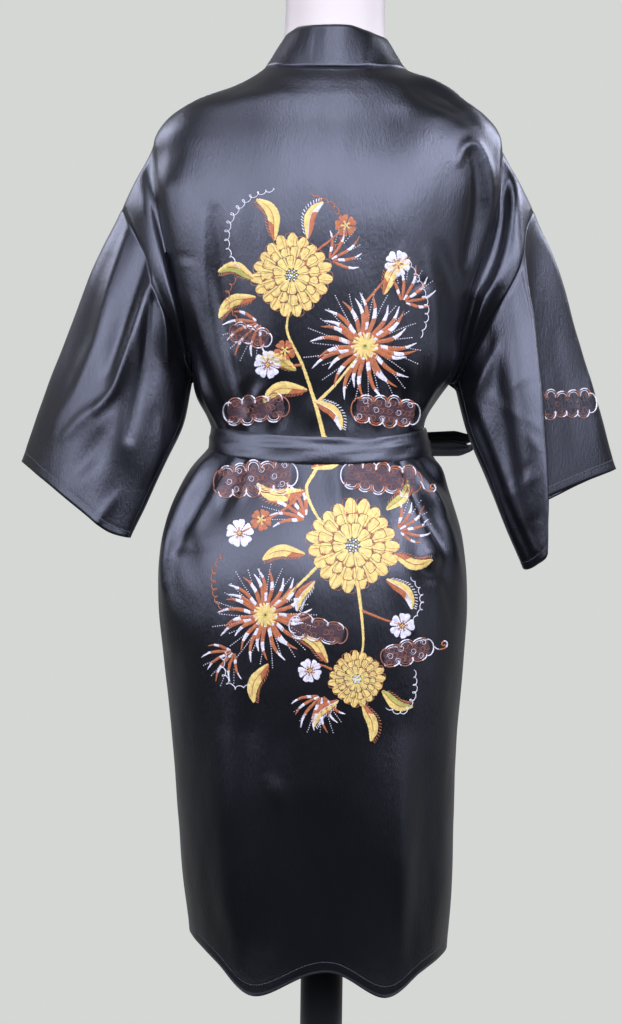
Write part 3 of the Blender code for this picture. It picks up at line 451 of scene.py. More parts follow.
# Creases, as seen from behind (side 1), from the front (-1) or both (0): how wide each is, how far it
# rises (less than 0 is a groove), how crisp its crest is from 0 to 1, and its line of (x, z) points
CREASE_FIELDS = "side width rise crisp line"
BODY_CREASES = listed(
    CREASE_FIELDS,
    # the flat panel beside the left armhole
    (1, 5, 3, 1, ((190, 1276), (184, 1234), (177, 1178), (171, 1146), (163, 1113), (154, 1061))),
    (1, 8, 3.5, 0.4, ((133, 1186), (131, 1144), (125, 1089), (111, 1025), (94, 974))),
    (1, 10, -4, 0.2, ((122, 1190), (117, 1150), (113, 1110), (106, 1068), (97, 1030))),
    (1, 2.5, -1.1, 0.5, ((172, 1149), (157, 1148), (142, 1145))),
    (1, 2, 0.6, 0.5, ((172, 1143), (157, 1142), (142, 1139))),
    # bunched under the left arm
    (1, 4, 4.5, 0.8, ((156, 1058), (161, 1027), (149, 997), (124, 967))),
    (1, 5, -6, 0.3, ((151, 1052), (150, 1023), (138, 992), (122, 972))),
    (1, 4, 4, 0.6, ((145, 1056), (136, 1013), (118, 968))),
    (1, 5, -3.5, 0.3, ((138, 1050), (126, 1010), (110, 970))),
    (1, 4, 3.5, 0.7, ((70, 1016), (79, 1000), (92, 972))),
    (1, 5, -3, 0.2, ((84, 1018), (92, 1000), (102, 976))),
    # folds at the right armhole
    (1, 4.5, 5.5, 0.6, ((-128, 1246), (-133, 1262), (-146, 1268), (-158, 1252), (-164, 1218), (-160, 1182),
     (-151, 1150), (-142, 1118))),
    (1, 8, -7.5, 0.1, ((-143, 1256), (-151, 1232), (-153, 1204), (-149, 1177), (-140, 1146))),
    (1, 4.5, 6, 0.7, ((-176, 1284), (-171, 1250), (-173, 1215), (-168, 1177), (-161, 1140), (-154, 1114))),
    (1, 5, -8, 0.2, ((-180, 1262), (-182, 1222), (-178, 1186), (-171, 1151), (-163, 1124))),
    (1, 8, 4.5, 0.4, ((-184, 1272), (-193, 1224), (-198, 1178), (-198, 1142))),
    (1, 8, 6.5, 0.5, ((-198, 1132), (-189, 1104), (-177, 1070), (-164, 1041), (-150, 1012))),
    (1, 8, -6.5, 0.2, ((-176, 1120), (-166, 1090), (-155, 1064), (-146, 1042))),
    (1, 10, -3.5, 0.1, ((-111, 1157), (-126, 1118), (-134, 1077), (-126, 1033), (-112, 990))),
    (1, 8, 3, 0.2, ((-96, 1150), (-104, 1104), (-108, 1050), (-98, 990))),
    (1, 2.5, -1.4, 0.5, ((-80, 1112), (-88, 1120), (-99, 1120), (-108, 1112))),
    (1, 3, 1.2, 0.5, ((-82, 1106), (-90, 1113), (-98, 1113))),
    # shoulders
    (1, 8, 4.5, 0.5, ((-84, 1341), (-104, 1333), (-124, 1322), (-150, 1306))),
    (1, 8, -3.5, 0.2, ((-80, 1325), (-104, 1316), (-126, 1303), (-148, 1290))),
    (1, 10, 1.6, 0.1, ((-130, 1300), (-90, 1296), (-60, 1300))),
    (0, 10, 2.5, 0.1, ((96, 1338), (130, 1324), (160, 1306))),
    # down the back
    (1, 3, -0.8, 0.8, ((20, 1322), (16, 1260), (10, 1196))),
    (1, 16, 2, 0, ((60, 1200), (52, 1120), (58, 1030))),
    (1, 18, -1.8, 0, ((-38, 1190), (-46, 1110), (-40, 1010))),
    (1, 10, 2, 0.2, ((-70, 1150), (-80, 1080), (-76, 1000))),
    # into the sash from above
    (1, 4, -3.5, 0.4, ((104, 1042), (94, 1010), (84, 972))),
    (1, 4, 2.2, 0.6, ((56, 1000), (60, 986), (64, 971))),
    (1, 4, -2, 0.4, ((48, 1006), (50, 988), (52, 971))),
    (1, 4, 2, 0.6, ((20, 1000), (18, 985), (18, 971))),
    (1, 4, -2.2, 0.4, ((-20, 1012), (-22, 990), (-22, 972))),
    (1, 4, 2.8, 0.6, ((-56, 1020), (-52, 996), (-50, 973))),
    (1, 4, -3, 0.4, ((-78, 1030), (-74, 1000), (-70, 974))),
    (1, 4, 2.6, 0.6, ((-92, 1010), (-88, 990), (-84, 974))),
    # away from the sash, below it
    (1, 6, 8.5, 0.8, ((122, 951), (141, 917), (158, 882), (171, 832), (173, 800))),
    (1, 7, -6.5, 0.3, ((114, 946), (132, 912), (149, 876), (158, 842))),
    (1, 5.5, 7.5, 0.9, ((97, 943), (114, 913), (130, 886), (142, 861))),
    (1, 6, -7, 0.3, ((107, 945), (123, 914), (137, 888), (146, 868))),
    (1, 6, -6, 0.3, ((88, 943), (102, 912), (113, 882))),
    (1, 5, 4.5, 0.6, ((78, 942), (86, 918), (92, 896))),
    (1, 2.5, -1, 0.6, ((163, 843), (142, 844), (120, 848))),
    (1, 2.5, 0.8, 0.8, ((96, 856), (94, 803), (95, 741))),
    (1, 12, 3, 0.1, ((170, 800), (168, 770), (165, 730))),
    (1, 5, 2, 0.4, ((60, 942), (64, 918), (72, 898))),
    (1, 5, -2.2, 0.4, ((40, 940), (42, 914), (46, 890))),
    (1, 6, 2, 0.4, ((-6, 938), (-8, 912), (-12, 880))),
    (1, 6, 8, 0.8, ((-66, 943), (-78, 908), (-94, 873), (-112, 846))),
    (1, 6, -7.5, 0.4, ((-73, 938), (-90, 896), (-112, 862), (-122, 846))),
    (1, 5.5, 7, 0.7, ((-84, 942), (-101, 912), (-122, 884))),
    (1, 6, -6.5, 0.4, ((-92, 945), (-112, 924), (-132, 901))),
    (1, 6, 7, 0.6, ((-103, 948), (-122, 926), (-140, 900))),
    (1, 9, 6, 0.2, ((-98, 851), (-109, 838), (-117, 842))),
    (1, 7, -3, 0.1, ((-92, 834), (-104, 820), (-118, 818))),
    (1, 12, 3, 0, ((-44, 930), (-62, 880), (-78, 820), (-92, 760))),
    # the skirt's long soft folds
    (1, 16, 2.6, 0, ((104, 700), (108, 600), (110, 470))),
    (1, 13, -2.4, 0, ((80, 690), (84, 580), (86, 450))),
    (1, 10, 1.8, 0, ((44, 640), (50, 540), (56, 430))),
    (1, 15, -2.2, 0, ((-20, 700), (-14, 600), (-16, 500))),
    (1, 12, 2.2, 0, ((-70, 680), (-76, 560), (-80, 440))),
    (1, 14, -2.4, 0, ((-102, 700), (-108, 580), (-112, 450))),
    (1, 6, 1.6, 0, ((58, 612), (50, 598), (46, 580))),
    # the fronts, into the sash and away from it
    (-1, 7, 4.5, 0.2, ((118, 1090), (104, 1030), (92, 974))),
    (-1, 6, -4, 0, ((100, 1080), (88, 1030), (78, 973))),
    (-1, 8, 3.5, 0, ((74, 1064), (62, 1016), (50, 973))),
    (-1, 6, -3, 0, ((50, 1040), (42, 1004), (34, 973))),
    (-1, 6, 3, 0, ((24, 1020), (18, 995), (12, 973))),
    (-1, 7, 4, 0, ((-104, 1080), (-92, 1024), (-78, 973))),
    (-1, 6, -4, 0, ((-86, 1070), (-76, 1020), (-64, 973))),
    (-1, 9, 3.5, 0, ((146, 1230), (138, 1170), (122, 1110))),
    (-1, 8, -4, 0, ((160, 1240), (152, 1180), (140, 1110))),
    (-1, 9, 3.5, 0, ((-138, 1230), (-130, 1166), (-118, 1100))),
    (-1, 8, -4, 0, ((-154, 1236), (-146, 1176), (-134, 1106))),
    (-1, 8, 4, 0, ((118, 944), (136, 900), (150, 850))),
    (-1, 7, -4, 0, ((98, 942), (114, 894), (124, 830))),
    (-1, 9, 3, 0, ((76, 942), (86, 890), (92, 820), (94, 740))),
    (-1, 7, -3, 0, ((54, 941), (60, 890), (62, 830))),
    (-1, 8, 3, 0, ((-80, 942), (-96, 890), (-106, 830), (-110, 760))),
    (-1, 7, -3.5, 0, ((-96, 944), (-112, 904), (-124, 850))),
    (-1, 15, 2.6, 0, ((84, 690), (90, 580), (92, 440))),
    (-1, 13, -2.4, 0, ((56, 690), (60, 560), (62, 430))),
    (-1, 15, 2.4, 0, ((-84, 700), (-90, 580), (-92, 440))),
    (-1, 12, -2, 0, ((-62, 640), (-66, 540), (-66, 430))))
LEFT_CREASES = listed(
    CREASE_FIELDS,
    # the folded V at the top of the left sleeve, the hollow under it, and the hollow outside it
    (1, 5, 6.5, 0.7, ((192, 1124), (201, 1098), (211, 1063), (220, 1035), (232, 1008), (252, 988))),
    (1, 4.5, 5.5, 0.6, ((192, 1124), (184, 1107), (179, 1075), (176, 1038))),
    (1, 8, -8, 0.1, ((192, 1104), (194, 1074), (197, 1040), (206, 1000), (214, 960))),
    (1, 8, -5.5, 0.1, ((196, 1186), (205, 1140), (216, 1106), (227, 1066), (240, 1026))),
    (1, 8, 4, 0.4, ((214, 1200), (230, 1148), (242, 1111), (250, 1074), (262, 1036), (282, 990))),
    (1, 12, -3, 0.1, ((242, 1150), (256, 1110), (270, 1060), (290, 1000))),
    (1, 8, 2.5, 0.3, ((262, 1060), (284, 1010), (304, 962))),
    (1, 10, -3, 0.1, ((240, 968), (256, 944), (276, 918))),
    (1, 6, 2.6, 0.4, ((292, 956), (271, 977), (245, 994))),
    (1, 6, 2.5, 0.4, ((184, 978), (186, 946), (198, 912))),
    (1, 5, 1.6, 0.3, ((226, 900), (240, 880), (252, 864))),
    (-1, 8, 4, 0.4, ((206, 1120), (228, 1050), (252, 976))),
    (-1, 9, -4, 0.2, ((224, 1130), (252, 1060), (284, 980))),
    (-1, 7, 3, 0.4, ((186, 1040), (206, 976), (226, 910))))
RIGHT_CREASES = listed(
    CREASE_FIELDS,
    # a crisp fold edge, a broad smooth face beside it, and fine crushed lines across
    (1, 3, 2, 0.9, ((-199, 1145), (-206, 1115), (-212, 1091), (-220, 1025), (-228, 969), (-231, 898),
     (-231, 850))),
    (1, 12, 4, 0.1, ((-190, 1106), (-197, 1050), (-204, 990), (-210, 930), (-214, 876))),
    (1, 10, -4, 0.1, ((-166, 1078), (-174, 1030), (-184, 975), (-196, 915))),
    (1, 6, 4, 0.5, ((-176, 1064), (-166, 1036), (-156, 1006))),
    (1, 2.5, 1, 0.8, ((-166, 1012), (-184, 996), (-204, 985), (-224, 973))),
    (1, 2.5, 1, 0.8, ((-168, 1007), (-184, 1015), (-201, 1024), (-214, 1034))),
    (1, 2.5, 1, 0.8, ((-204, 978), (-213, 962), (-221, 950))),
    (1, 5, 0.7, 0.2, ((-186, 898), (-202, 912), (-219, 924))),
    (1, 5, -0.8, 0.2, ((-186, 908), (-200, 924), (-214, 938))),
    (1, 5, -0.5, 0.2, ((-204, 858), (-213, 872), (-224, 884))),
    (1, 2.8, -2.4, 0.4, ((-147, 1003), (-166, 960), (-190, 895), (-215, 838))),
    (1, 2.8, 2, 0.8, ((-154, 1006), (-173, 963), (-197, 898), (-221, 842))),
    (1, 3, 1.4, 0.6, ((-288, 1034), (-296, 985), (-305, 938))),
    (1, 9, -1.6, 0, ((-246, 1080), (-262, 1010), (-276, 950))),
    (-1, 8, 4, 0.4, ((-200, 1120), (-222, 1050), (-244, 976))),
    (-1, 9, -4, 0.2, ((-218, 1130), (-244, 1060), (-272, 990))),
    (-1, 7, 3, 0.4, ((-182, 1040), (-202, 976), (-222, 920))))
BAND_CREASES = listed(
    CREASE_FIELDS,
    (1, 3, -1.2, 0.3, ((22, 1344), (20, 1370), (16, 1392))),
    (1, 4, 0.8, 0, ((28, 1346), (27, 1370), (24, 1390))),
    (1, 6, 1, 0, ((-30, 1346), (-34, 1366), (-34, 1392))),
    (1, 3, -0.8, 0, ((54, 1352), (50, 1372), (44, 1396))),
    (-1, 5, -1, 0, ((40, 1150), (24, 1130), (12, 1120))),
    (-1, 6, 1.2, 0, ((52, 1210), (38, 1190), (26, 1184))))


def through(keys, values):
    """A smooth function through a table's values, which stays flat past its ends."""
    keys, values = np.array(keys, float), np.array(values, float)
    slopes = np.gradient(values, keys, axis=0)

    def at(place):
        place = np.clip(np.asarray(place, float), keys[0], keys[-1])
        i = np.clip(np.searchsorted(keys, place) - 1, 0, len(keys) - 2)
        step = keys[i + 1] - keys[i]
        t = (place - keys[i]) / step
        if values.ndim > 1:
            step, t = step[..., None], t[..., None]
        rise = (3 - 2 * t) * t * t
        return (values[i] * (1 - rise) + values[i + 1] * rise
                + step * t * (1 - t) * ((1 - t) * slopes[i] - t * slopes[i + 1]))

    return at


def columns_of(table):
    """One smooth function for each column of a table, by its first column."""
    keys = [row[0] for row in table]
    return {name: through(keys, [getattr(row, name) for row in table]) for name in table[0]._fields[1:]}


ROBE_AT = columns_of(ROBE)
EDGE_AT = columns_of(FRONT_EDGE)["out"]
HEM_AT = columns_of(HEM_LINE)["height"]


def soft_step(value, start, end):
    """Rises softly from 0 to 1 between two values."""
    t = np.clip((np.asarray(value, float) - start) / (end - start), 0, 1)
    return t * t * (3 - 2 * t)


def unit(vectors):
    """The same ways, each of length 1."""
    return vectors / np.maximum(np.linalg.norm(vectors, axis=-1, keepdims=True), 1e-9)


def beside(run):
    """The way to the left of each step of a flat route."""
    return unit(np.stack([-run[:, 1], run[:, 0]], -1))


def distances(line):
    """How far along a line each of its points is."""
    return np.concatenate([[0], np.cumsum(np.linalg.norm(np.diff(line, axis=0), axis=1))])


def circle(count):
    """Angles in equal steps round a full turn."""
    return np.linspace(0, 2 * math.pi, count, endpoint=False)


def numbered(points, first=0):
    """A number for each point of an array, in the same arrangement."""
    return first + np.arange(points[..., 0].size).reshape(points.shape[:-1])


def grid_faces(number):
    """The quads between the numbered points of one grid, or of several."""
    low, high = number[..., :-1, :], number[..., 1:, :]
    return np.stack([low[..., :-1], high[..., :-1], high[..., 1:], low[..., 1:]], -1).reshape(-1, 4)


def tube_faces(count, size, closed=False):
    """The faces of a tube of equal rings: an open tube has a flat face at each end, last in the list."""
    faces = []
    for r in range(count if closed else count - 1):
        a, b = r * size, (r + 1) % count * size
        faces += [[a + k, a + (k + 1) % size, b + (k + 1) % size, b + k] for k in range(size)]
    if not closed:
        faces += [list(range(size))[::-1], list(range((count - 1) * size, count * size))]
    return faces


def edges_of(quads):
    """Each edge once, in the direction of its first face, and how many faces have it."""
    edges = np.concatenate([quads[:, [k, (k + 1) % 4]] for k in range(4)])
    edges = edges[edges[:, 0] != edges[:, 1]]
    _, at, count = np.unique(np.sort(edges, axis=1), axis=0, return_index=True, return_counts=True)
    return edges[at], count


def ring(angle, left, right, back, front):
    """A point on a squared oval, with its way out: 0 is the back, 90 the left side."""
    s, c = np.sin(np.radians(angle)), np.cos(np.radians(angle))
    across, deep = np.where(s > 0, left, right), np.where(c > 0, back, front)
    x = np.sign(s) * np.abs(s) ** (2 / SQUARE)
    y = np.sign(c) * np.abs(c) ** (2 / SQUARE)
    out = np.stack([np.sign(x) * np.abs(x) ** (SQUARE - 1) / across,
                    np.sign(y) * np.abs(y) ** (SQUARE - 1) / deep, 0 * x], -1)
    return np.stack([x * across, y * deep, 0 * x], -1), unit(out)


def neck_dip(angle, height):
    """How far the neck's seam dips behind."""
    behind = np.maximum(np.cos(np.radians(angle)), 0) ** 2
    return BACK_DIP * behind * soft_step(height, SHOULDER_END, NECK_SEAM)


def lift(angle, height):
    """How far the cloth at this height hangs above or below it: hem, waist and back neck."""
    hem = (HEM_AT(angle) - HEM) * (1 - soft_step(height, HEM, HEM + HEM_BLEND))
    turn = np.radians(angle)
    pull = WAIST_RISE * np.sin(turn) ** 2 - WAIST_SAG * np.maximum(np.cos(turn), 0)
    waist = np.exp(-((height - WAIST) / WAIST_REACH) ** 2) * pull
    return hem + waist - neck_dip(angle, height)


def folds(angle, height):
    """How far the long folds lift the cloth off its smooth form."""
    rise = 0 * (angle + height)
    for fold in FOLDS:
        down = np.clip((fold.top - height) / (fold.top - fold.foot), 0, 1)
        line = fold.angle_top + (fold.angle_foot - fold.angle_top) * down
        off = np.radians(angle - line) * FOLD_RADIUS / fold.width
        rise = rise + fold.rise * np.exp(-off * off) * np.sin(np.pi * down)
    return rise


def flat_back(angle, height):
    """How much further back than its oval the back hangs, beside an armhole."""
    rise = np.where(angle > 0, *FLAT_BACK) * (np.cos(np.radians(angle)) >= 0)
    return (rise * soft_step(np.abs(angle), *FLAT_ANGLES) * soft_step(height, *FLAT_FROM)
            * (1 - soft_step(height, *FLAT_UNTIL)))


def robe_point(angle, height, inner=False):
    """A point of the robe's body; the right front is the inner layer."""
    angle, height = np.broadcast_arrays(np.asarray(angle, float), np.asarray(height, float))
    point, out = ring(angle, *[column(height) for column in ROBE_AT.values()])
    inset = LAP * soft_step(-angle, *LAP_STARTS) if inner else 0
    point = point + out * (folds((angle + 180) % 360 - 180, height) - inset)[..., None]
    point[..., 1] += flat_back(angle, height)
    point[..., 2] = height + lift(angle, height)
    return point


def turn_at(x, height, left, limit=1):
    """How far round from the front's middle a place across the robe is, in degrees."""
    width = np.where(left, ROBE_AT["left"](height), ROBE_AT["right"](height))
    return np.degrees(np.arcsin(np.minimum(np.abs(x) / width, limit) ** (SQUARE / 2)))


def edge_angle(height, side):
    """Where a front ends, as an angle: side is 1 for the left front and -1 for the right."""
    x = EDGE_AT(height)
    return side * (180 - np.sign(x) * turn_at(x, height, x * side > 0, EDGE_LIMIT))


def chest_point(x, height, inner):
    """A point on the front of the robe, at a given place across."""
    angle = 180 - np.sign(x) * turn_at(x, height, x > 0)
    return robe_point(angle - 360 if inner else angle, height, inner)


def sleeve_ring(table, side, along, turns):
    """Points of a sleeve: turns run once round the tube, from the underarm seam up the back."""
    keys = [column(along) * (side, 1, 1) for column in columns_of(table).values()]
    loop = [keys[-1]] + keys + [keys[0], keys[1]]
    places = [SECTION_KEYS[-2] - 1] + list(SECTION_KEYS) + [1 + SECTION_KEYS[1]]
    return through(places, loop)(turns)


class Cloth:
    """The robe's cloth: shared points, and quads that belong to named pieces."""

    def __init__(self):
        self.points = np.zeros((0, 3))
        self.grids = {}
        self.normals = None

    def add(self, points):
        """Keeps points and gives their numbers, in the same arrangement."""
        points = np.asarray(points, float)
        start = len(self.points)
        self.points = np.concatenate([self.points, points.reshape(-1, 3)])
        return numbered(points, start)

    def patch(self, piece, grid, flip=False):
        """Gives a piece the quads between a grid's points."""
        quads = np.stack([grid[:-1, :-1], grid[:-1, 1:], grid[1:, 1:], grid[1:, :-1]], -1).reshape(-1, 4)
        self.grids.setdefault(piece, []).append(quads[:, ::-1] if flip else quads)

    def quads(self, piece=None):
        """The quads of one piece, or of all."""
        chosen = self.grids if piece is None else [piece]
        return np.concatenate([quads for name in chosen for quads in self.grids[name]])

    def find_normals(self):
        """The way out of the cloth at each point."""
        quads = self.quads()
        p = self.points[quads]
        way = np.cross(p[:, 2] - p[:, 0], p[:, 3] - p[:, 1])
        total = np.zeros_like(self.points)
        for k in range(4):
            np.add.at(total, quads[:, k], way)
        self.normals = unit(total)

    def soften(self, rounds, share=0.5, held=()):
        """Moves each inner point towards the middle of its neighbours, apart from those that are held."""
        edges, count = edges_of(self.quads())
        held = np.concatenate([np.unique(edges[count == 1]), np.array(held, int)])
        for _ in range(rounds):
            total, near = np.zeros_like(self.points), np.zeros(len(self.points))
            for a, b in ((0, 1), (1, 0)):
                np.add.at(total, edges[:, a], self.points[edges[:, b]])
                np.add.at(near, edges[:, a], 1)
            middle = total / np.maximum(near, 1)[:, None]
            moving = near > 0
            moving[held] = False
            self.points[moving] += share * (middle[moving] - self.points[moving])


def body_rows():
    """The heights of the body's rows, which of them the armholes have, and each row's gap at an armhole."""
    low = np.linspace(HEM, ARMPIT, round((ARMPIT - HEM) / ROW_STEP) + 1)
    middle = np.linspace(ARMPIT, SHOULDER_END, ARMHOLE_ROWS + 1)
    levels = [row.height for row in ROBE if row.height >= SHOULDER_END]
    top = np.interp(np.linspace(0, len(levels) - 1, SHOULDER_ROWS), range(len(levels)), levels)
    rows = np.concatenate([low, middle[1:], top[1:]])
    armpit, end = len(low) - 1, len(low) - 1 + ARMHOLE_ROWS
    share = np.clip((rows - ARMPIT) / (SHOULDER_END - ARMPIT), 0, 1)
    opened = ARMHOLE_OPEN * np.maximum(np.sin(np.pi * share), 0) ** 0.5
    opened[:armpit + 1] = 0
    opened[end:] = 0
    return rows, slice(armpit, end + 1), opened


def make_net():
    """The robe's whole net: body, armhole caps, sleeves and neck band, with the grids to sew along."""
    net = Cloth()
    rows, armhole, opened = body_rows()
    across = 1 - 2 * np.arange(BACK_COLUMNS + 1) / BACK_COLUMNS
    back = net.add(robe_point((90 - opened)[:, None] * across, rows[:, None]))
    fronts = {}
    for side, corner in ((1, back[:, 0]), (-1, back[:, -1])):
        start, finish = side * (90 + opened), edge_angle(rows, side)
        turn = start[:, None] + (finish - start)[:, None] * np.arange(FRONT_COLUMNS + 1) / FRONT_COLUMNS
        grid = net.add(robe_point(turn, rows[:, None], side < 0))
        grid[opened == 0, 0] = corner[opened == 0]
        fronts[side] = grid
    left, right = fronts[1], fronts[-1]
    net.patch("robe_back", back)
    net.patch("robe_front_left", left[:, ::-1])
    net.patch("robe_front_right", right)
    sleeves = {
        1: sleeve(net, "left", LEFT_SLEEVE, 1, back[armhole, 0], left[armhole, 0]),
        -1: sleeve(net, "right", RIGHT_SLEEVE, -1, back[armhole, -1], right[armhole, 0]),
    }
    seam = np.concatenate([left[:, -1], left[-1, -2::-1], back[-1, 1:], right[-1, 1:], right[-2::-1, -1]])
    heights = np.concatenate([rows, np.full(len(seam) - 2 * len(rows), NECK_SEAM), rows[::-1]])
    band = neck_band(net, seam, heights, len(rows))
    return net, {"back": back, "left": left, "right": right, "band": band, "sleeves": sleeves,
                 "armhole": armhole}


def sleeve(net, name, table, side, back_edge, front_edge):
    """A sleeve, and the cap of each body panel that reaches out to its seam."""
    turns = np.arange(SLEEVE_COLUMNS) / SLEEVE_COLUMNS
    seam = np.concatenate([back_edge[:1], net.add(sleeve_ring(table, side, 0, turns[1:]))])
    rings = [np.append(seam, seam[0])]
    for along in np.arange(1, SLEEVE_RINGS) / (SLEEVE_RINGS - 1):
        points = net.add(sleeve_ring(table, side, along, turns))
        rings.append(np.append(points, points[0]))
    rings = np.array(rings)
    net.patch("sleeve_" + name, rings, flip=side < 0)
    behind = armhole_cap(net, back_edge, rings[0], 1)
    before = armhole_cap(net, front_edge, rings[0, ::-1], -1, behind[-1])
    net.patch("robe_back", behind, flip=side > 0)
    net.patch("robe_front_" + name, before, flip=side < 0)
    return rings


def armhole_cap(net, edge, seam, way, shoulder=None):
    """A panel's reach out to its sleeve: way is 1 behind, and -1 in front, which gets the shoulder's row."""
    steps = len(edge) - 1
    shares = np.arange(1, CAP_COLUMNS) / CAP_COLUMNS
    pleat = np.sin(np.pi * np.minimum(shares / PLEAT_END, 1)) ** 2
    rows = [np.full(CAP_COLUMNS + 1, edge[0])]
    for i in range(1, steps if shoulder is not None else steps + 1):
        start, finish = net.points[edge[i]], net.points[seam[i]]
        reach = min(PLEAT_DEPTH, PLEAT_SLOPE * np.linalg.norm(finish - start))
        deep = reach * max(math.sin(math.pi * i / steps), 0) ** 0.5 * (1 if way > 0 else FRONT_PLEAT)
        crown = np.sin(np.pi * shares) * CAP_CROWN[i == steps]
        moved = start + (finish - start) * shares[:, None]
        if i == steps:
            moved[:, 2] += crown
        else:
            moved[:, 1] += (crown - deep * pleat) * way
        rows.append(np.concatenate([[edge[i]], net.add(moved), [seam[i]]]))
    return np.array(rows if shoulder is None else rows + [shoulder])


def neck_band(net, seam, heights, front_rows):
    """The band along both front edges and round the neck, standing up behind it."""
    widths = np.arange(1, BAND_COLUMNS + 1) / BAND_COLUMNS * BAND_WIDTH
    rows = []
    for k, number in enumerate(seam):
        ahead = net.points[seam[min(k + 1, len(seam) - 1)]] - net.points[seam[max(k - 1, 0)]]
        side = 1 if k < front_rows else -1 if k >= len(seam) - front_rows else 0
        points = band_points(net.points[number], unit(ahead), side, heights[k], widths)
        rows.append(np.concatenate([[number], net.add(points)]))
    grid = np.array(rows)
    net.patch("neck_band", grid, flip=True)
    return grid


def band_points(seam, ahead, side, height, widths):
    """Points of the band at these distances from its seam: side is 0 round the neck."""
    up = np.array([BAND_LEAN[0] * seam[0], BAND_LEAN[1] * seam[1], BAND_LEAN[2]])
    up = unit(up) * (1 - (1 - RIGHT_STAND) * soft_step(-seam[0], *RIGHT_SPAN))
    widths = widths[:, None]
    if not side:
        return seam + up * widths
    toward = np.array([-side, 0.0, 0.0])
    toward = unit(toward - ahead * float(toward @ ahead))
    rise = soft_step(height, *BAND_TURNS)
    size = np.linalg.norm(up)
    lean = toward * (1 - rise) + unit(up) * rise
    stand = seam + unit(lean) * widths * (1 - rise + size * rise)
    flat = chest_point(seam[0] + toward[0] * widths[:, 0], height + toward[2] * widths[:, 0], side < 0)
    flat[:, 2] = seam[2] + toward[2] * widths[:, 0]
    mix = soft_step(height, *BAND_STANDS)
    return flat * (1 - mix) + stand * mix


def nearest(line, spots):
    """How far each spot is from a line, and how far along the line its nearest place is."""
    best, where = np.full(len(spots), np.inf), np.zeros(len(spots))
    for a, b, mark in zip(line, line[1:], distances(line)):
        length = np.linalg.norm(b - a)
        way = (b - a) / length
        along = np.clip((spots - a) @ way, 0, length)
        off = np.linalg.norm(spots - a - along[:, None] * way, axis=1)
        where = np.where(off < best, mark + along, where)
        best = np.minimum(off, best)
    return best, where


def crease_rise(points, normals, creases):
    """How far the creases of a table lift each point."""
    total = np.zeros(len(points))
    flat = points[:, [0, 2]]
    for crease in creases:
        last = len(crease.line) - 1
        line = through(range(last + 1), crease.line)(np.linspace(0, last, CREASE_POINTS))
        reach = CREASE_REACH * crease.width
        near = np.all((flat > line.min(0) - reach) & (flat < line.max(0) + reach), axis=1)
        if crease.side:
            near &= normals[:, 1] * crease.side > FACING[0]
        off, along = nearest(line, flat[near])
        share = along / distances(line)[-1]
        # widest at its middle, and fading out at both ends
        width = crease.width * (0.75 + 0.5 * np.sin(np.pi * share))
        fall = np.exp(-(off / width) ** (2 - 0.9 * crease.crisp))
        rise = crease.rise * fall * np.sin(np.pi * (0.06 + 0.88 * share)) ** 0.7
        if crease.side:
            rise *= soft_step(normals[near, 1] * crease.side, *FACING)
        total[near] += rise
    return total


def unevenness(points, size, seed):
    """Soft, seeded unevenness between -1 and 1, longer along the height than across."""
    scale = np.array([1 / size, 1 / size, 0.45 / size])
    return np.array([noise.noise(Vector(p * scale + seed)) for p in points])


def drape(net, grids):
    """Puts the creases into the net, and the puckers at hems and seams."""
    crests = [grids["back"][grids["armhole"], column] for column in (0, -1)]
    net.soften(SMOOTH_ROUNDS, held=np.concatenate(crests))
    net.find_normals()
    z = net.points[:, 2]
    outward = np.abs(net.points[:, 0])
    total = np.zeros(len(net.points))
    for pieces, creases in ((("robe_back", "robe_front_left", "robe_front_right"), BODY_CREASES),
                            (("sleeve_left",), LEFT_CREASES), (("sleeve_right",), RIGHT_CREASES),
                            (("neck_band",), BAND_CREASES + BODY_CREASES)):
        chosen = np.unique(np.concatenate([net.quads(piece).ravel() for piece in pieces]))
        total[chosen] += crease_rise(net.points[chosen], net.normals[chosen], creases)
    used = np.unique(net.quads())
    total[used] += sum(rise * unevenness(net.points[used], size, seed) for rise, size, seed in UNEVEN)
    pressed = np.exp(-np.abs((z - WAIST + SASH_LOW) / SASH_GRIP) ** 3) * (outward < SASH_SIDES)
    total *= 1 - SASH_HOLDS * pressed
    deep = DEEPEST[0] + (DEEPEST[1] - DEEPEST[0]) * soft_step(outward, *DEEPER_FROM)
    total = np.clip(total, -deep * (1 - SHOULDER_HOLDS * soft_step(z, *SHOULDER_SPAN)), HIGHEST)
    for seam, depth in seams(grids):
        total[seam] -= depth * (z[seam] < PUCKER_TOP)
    net.points += net.normals * total[:, None]
    net.soften(rounds=1, share=0.35)
    net.find_normals()


def seams(grids):
    """The rows and columns of the net that are sewn, and how far the thread pulls them in."""
    found = [(grids["band"][:, 0], BAND_PULL)]
    for rings in grids["sleeves"].values():
        found += [(rings[0, :-1], ARMHOLE_PULL), (rings[:, 0], SEAM_PULL), (rings[CUFF_RING, :-1], HEM_PULL)]
    below = grids["back"][:grids["armhole"].start]
    found += [(below[:, column], SEAM_PULL) for column in (0, -1)]
    return found + [(grids[name][HEM_ROW], HEM_PULL) for name in ("back", "left", "right")]


def stitch_lines(net, grids):
    """The lines of running stitches of each piece: points on the cloth's face, and its normals there."""
    chosen = {
        "robe_back": [grids["back"][HEM_ROW]],
        "robe_front_left": [grids["left"][HEM_ROW]],
        "robe_front_right": [grids["right"][HEM_ROW]],
        "neck_band": [grids["band"][:, 1]],
    }
    for name, rings in zip(("sleeve_left", "sleeve_right"), grids["sleeves"].values()):
        chosen[name] = [rings[CUFF_RING]] + [rings[:, column] for column in SLEEVE_STITCHES]
    return {piece: [(net.points[row] + net.normals[row] * CLOTH / 2, net.normals[row]) for row in rows]
            for piece, rows in chosen.items()}


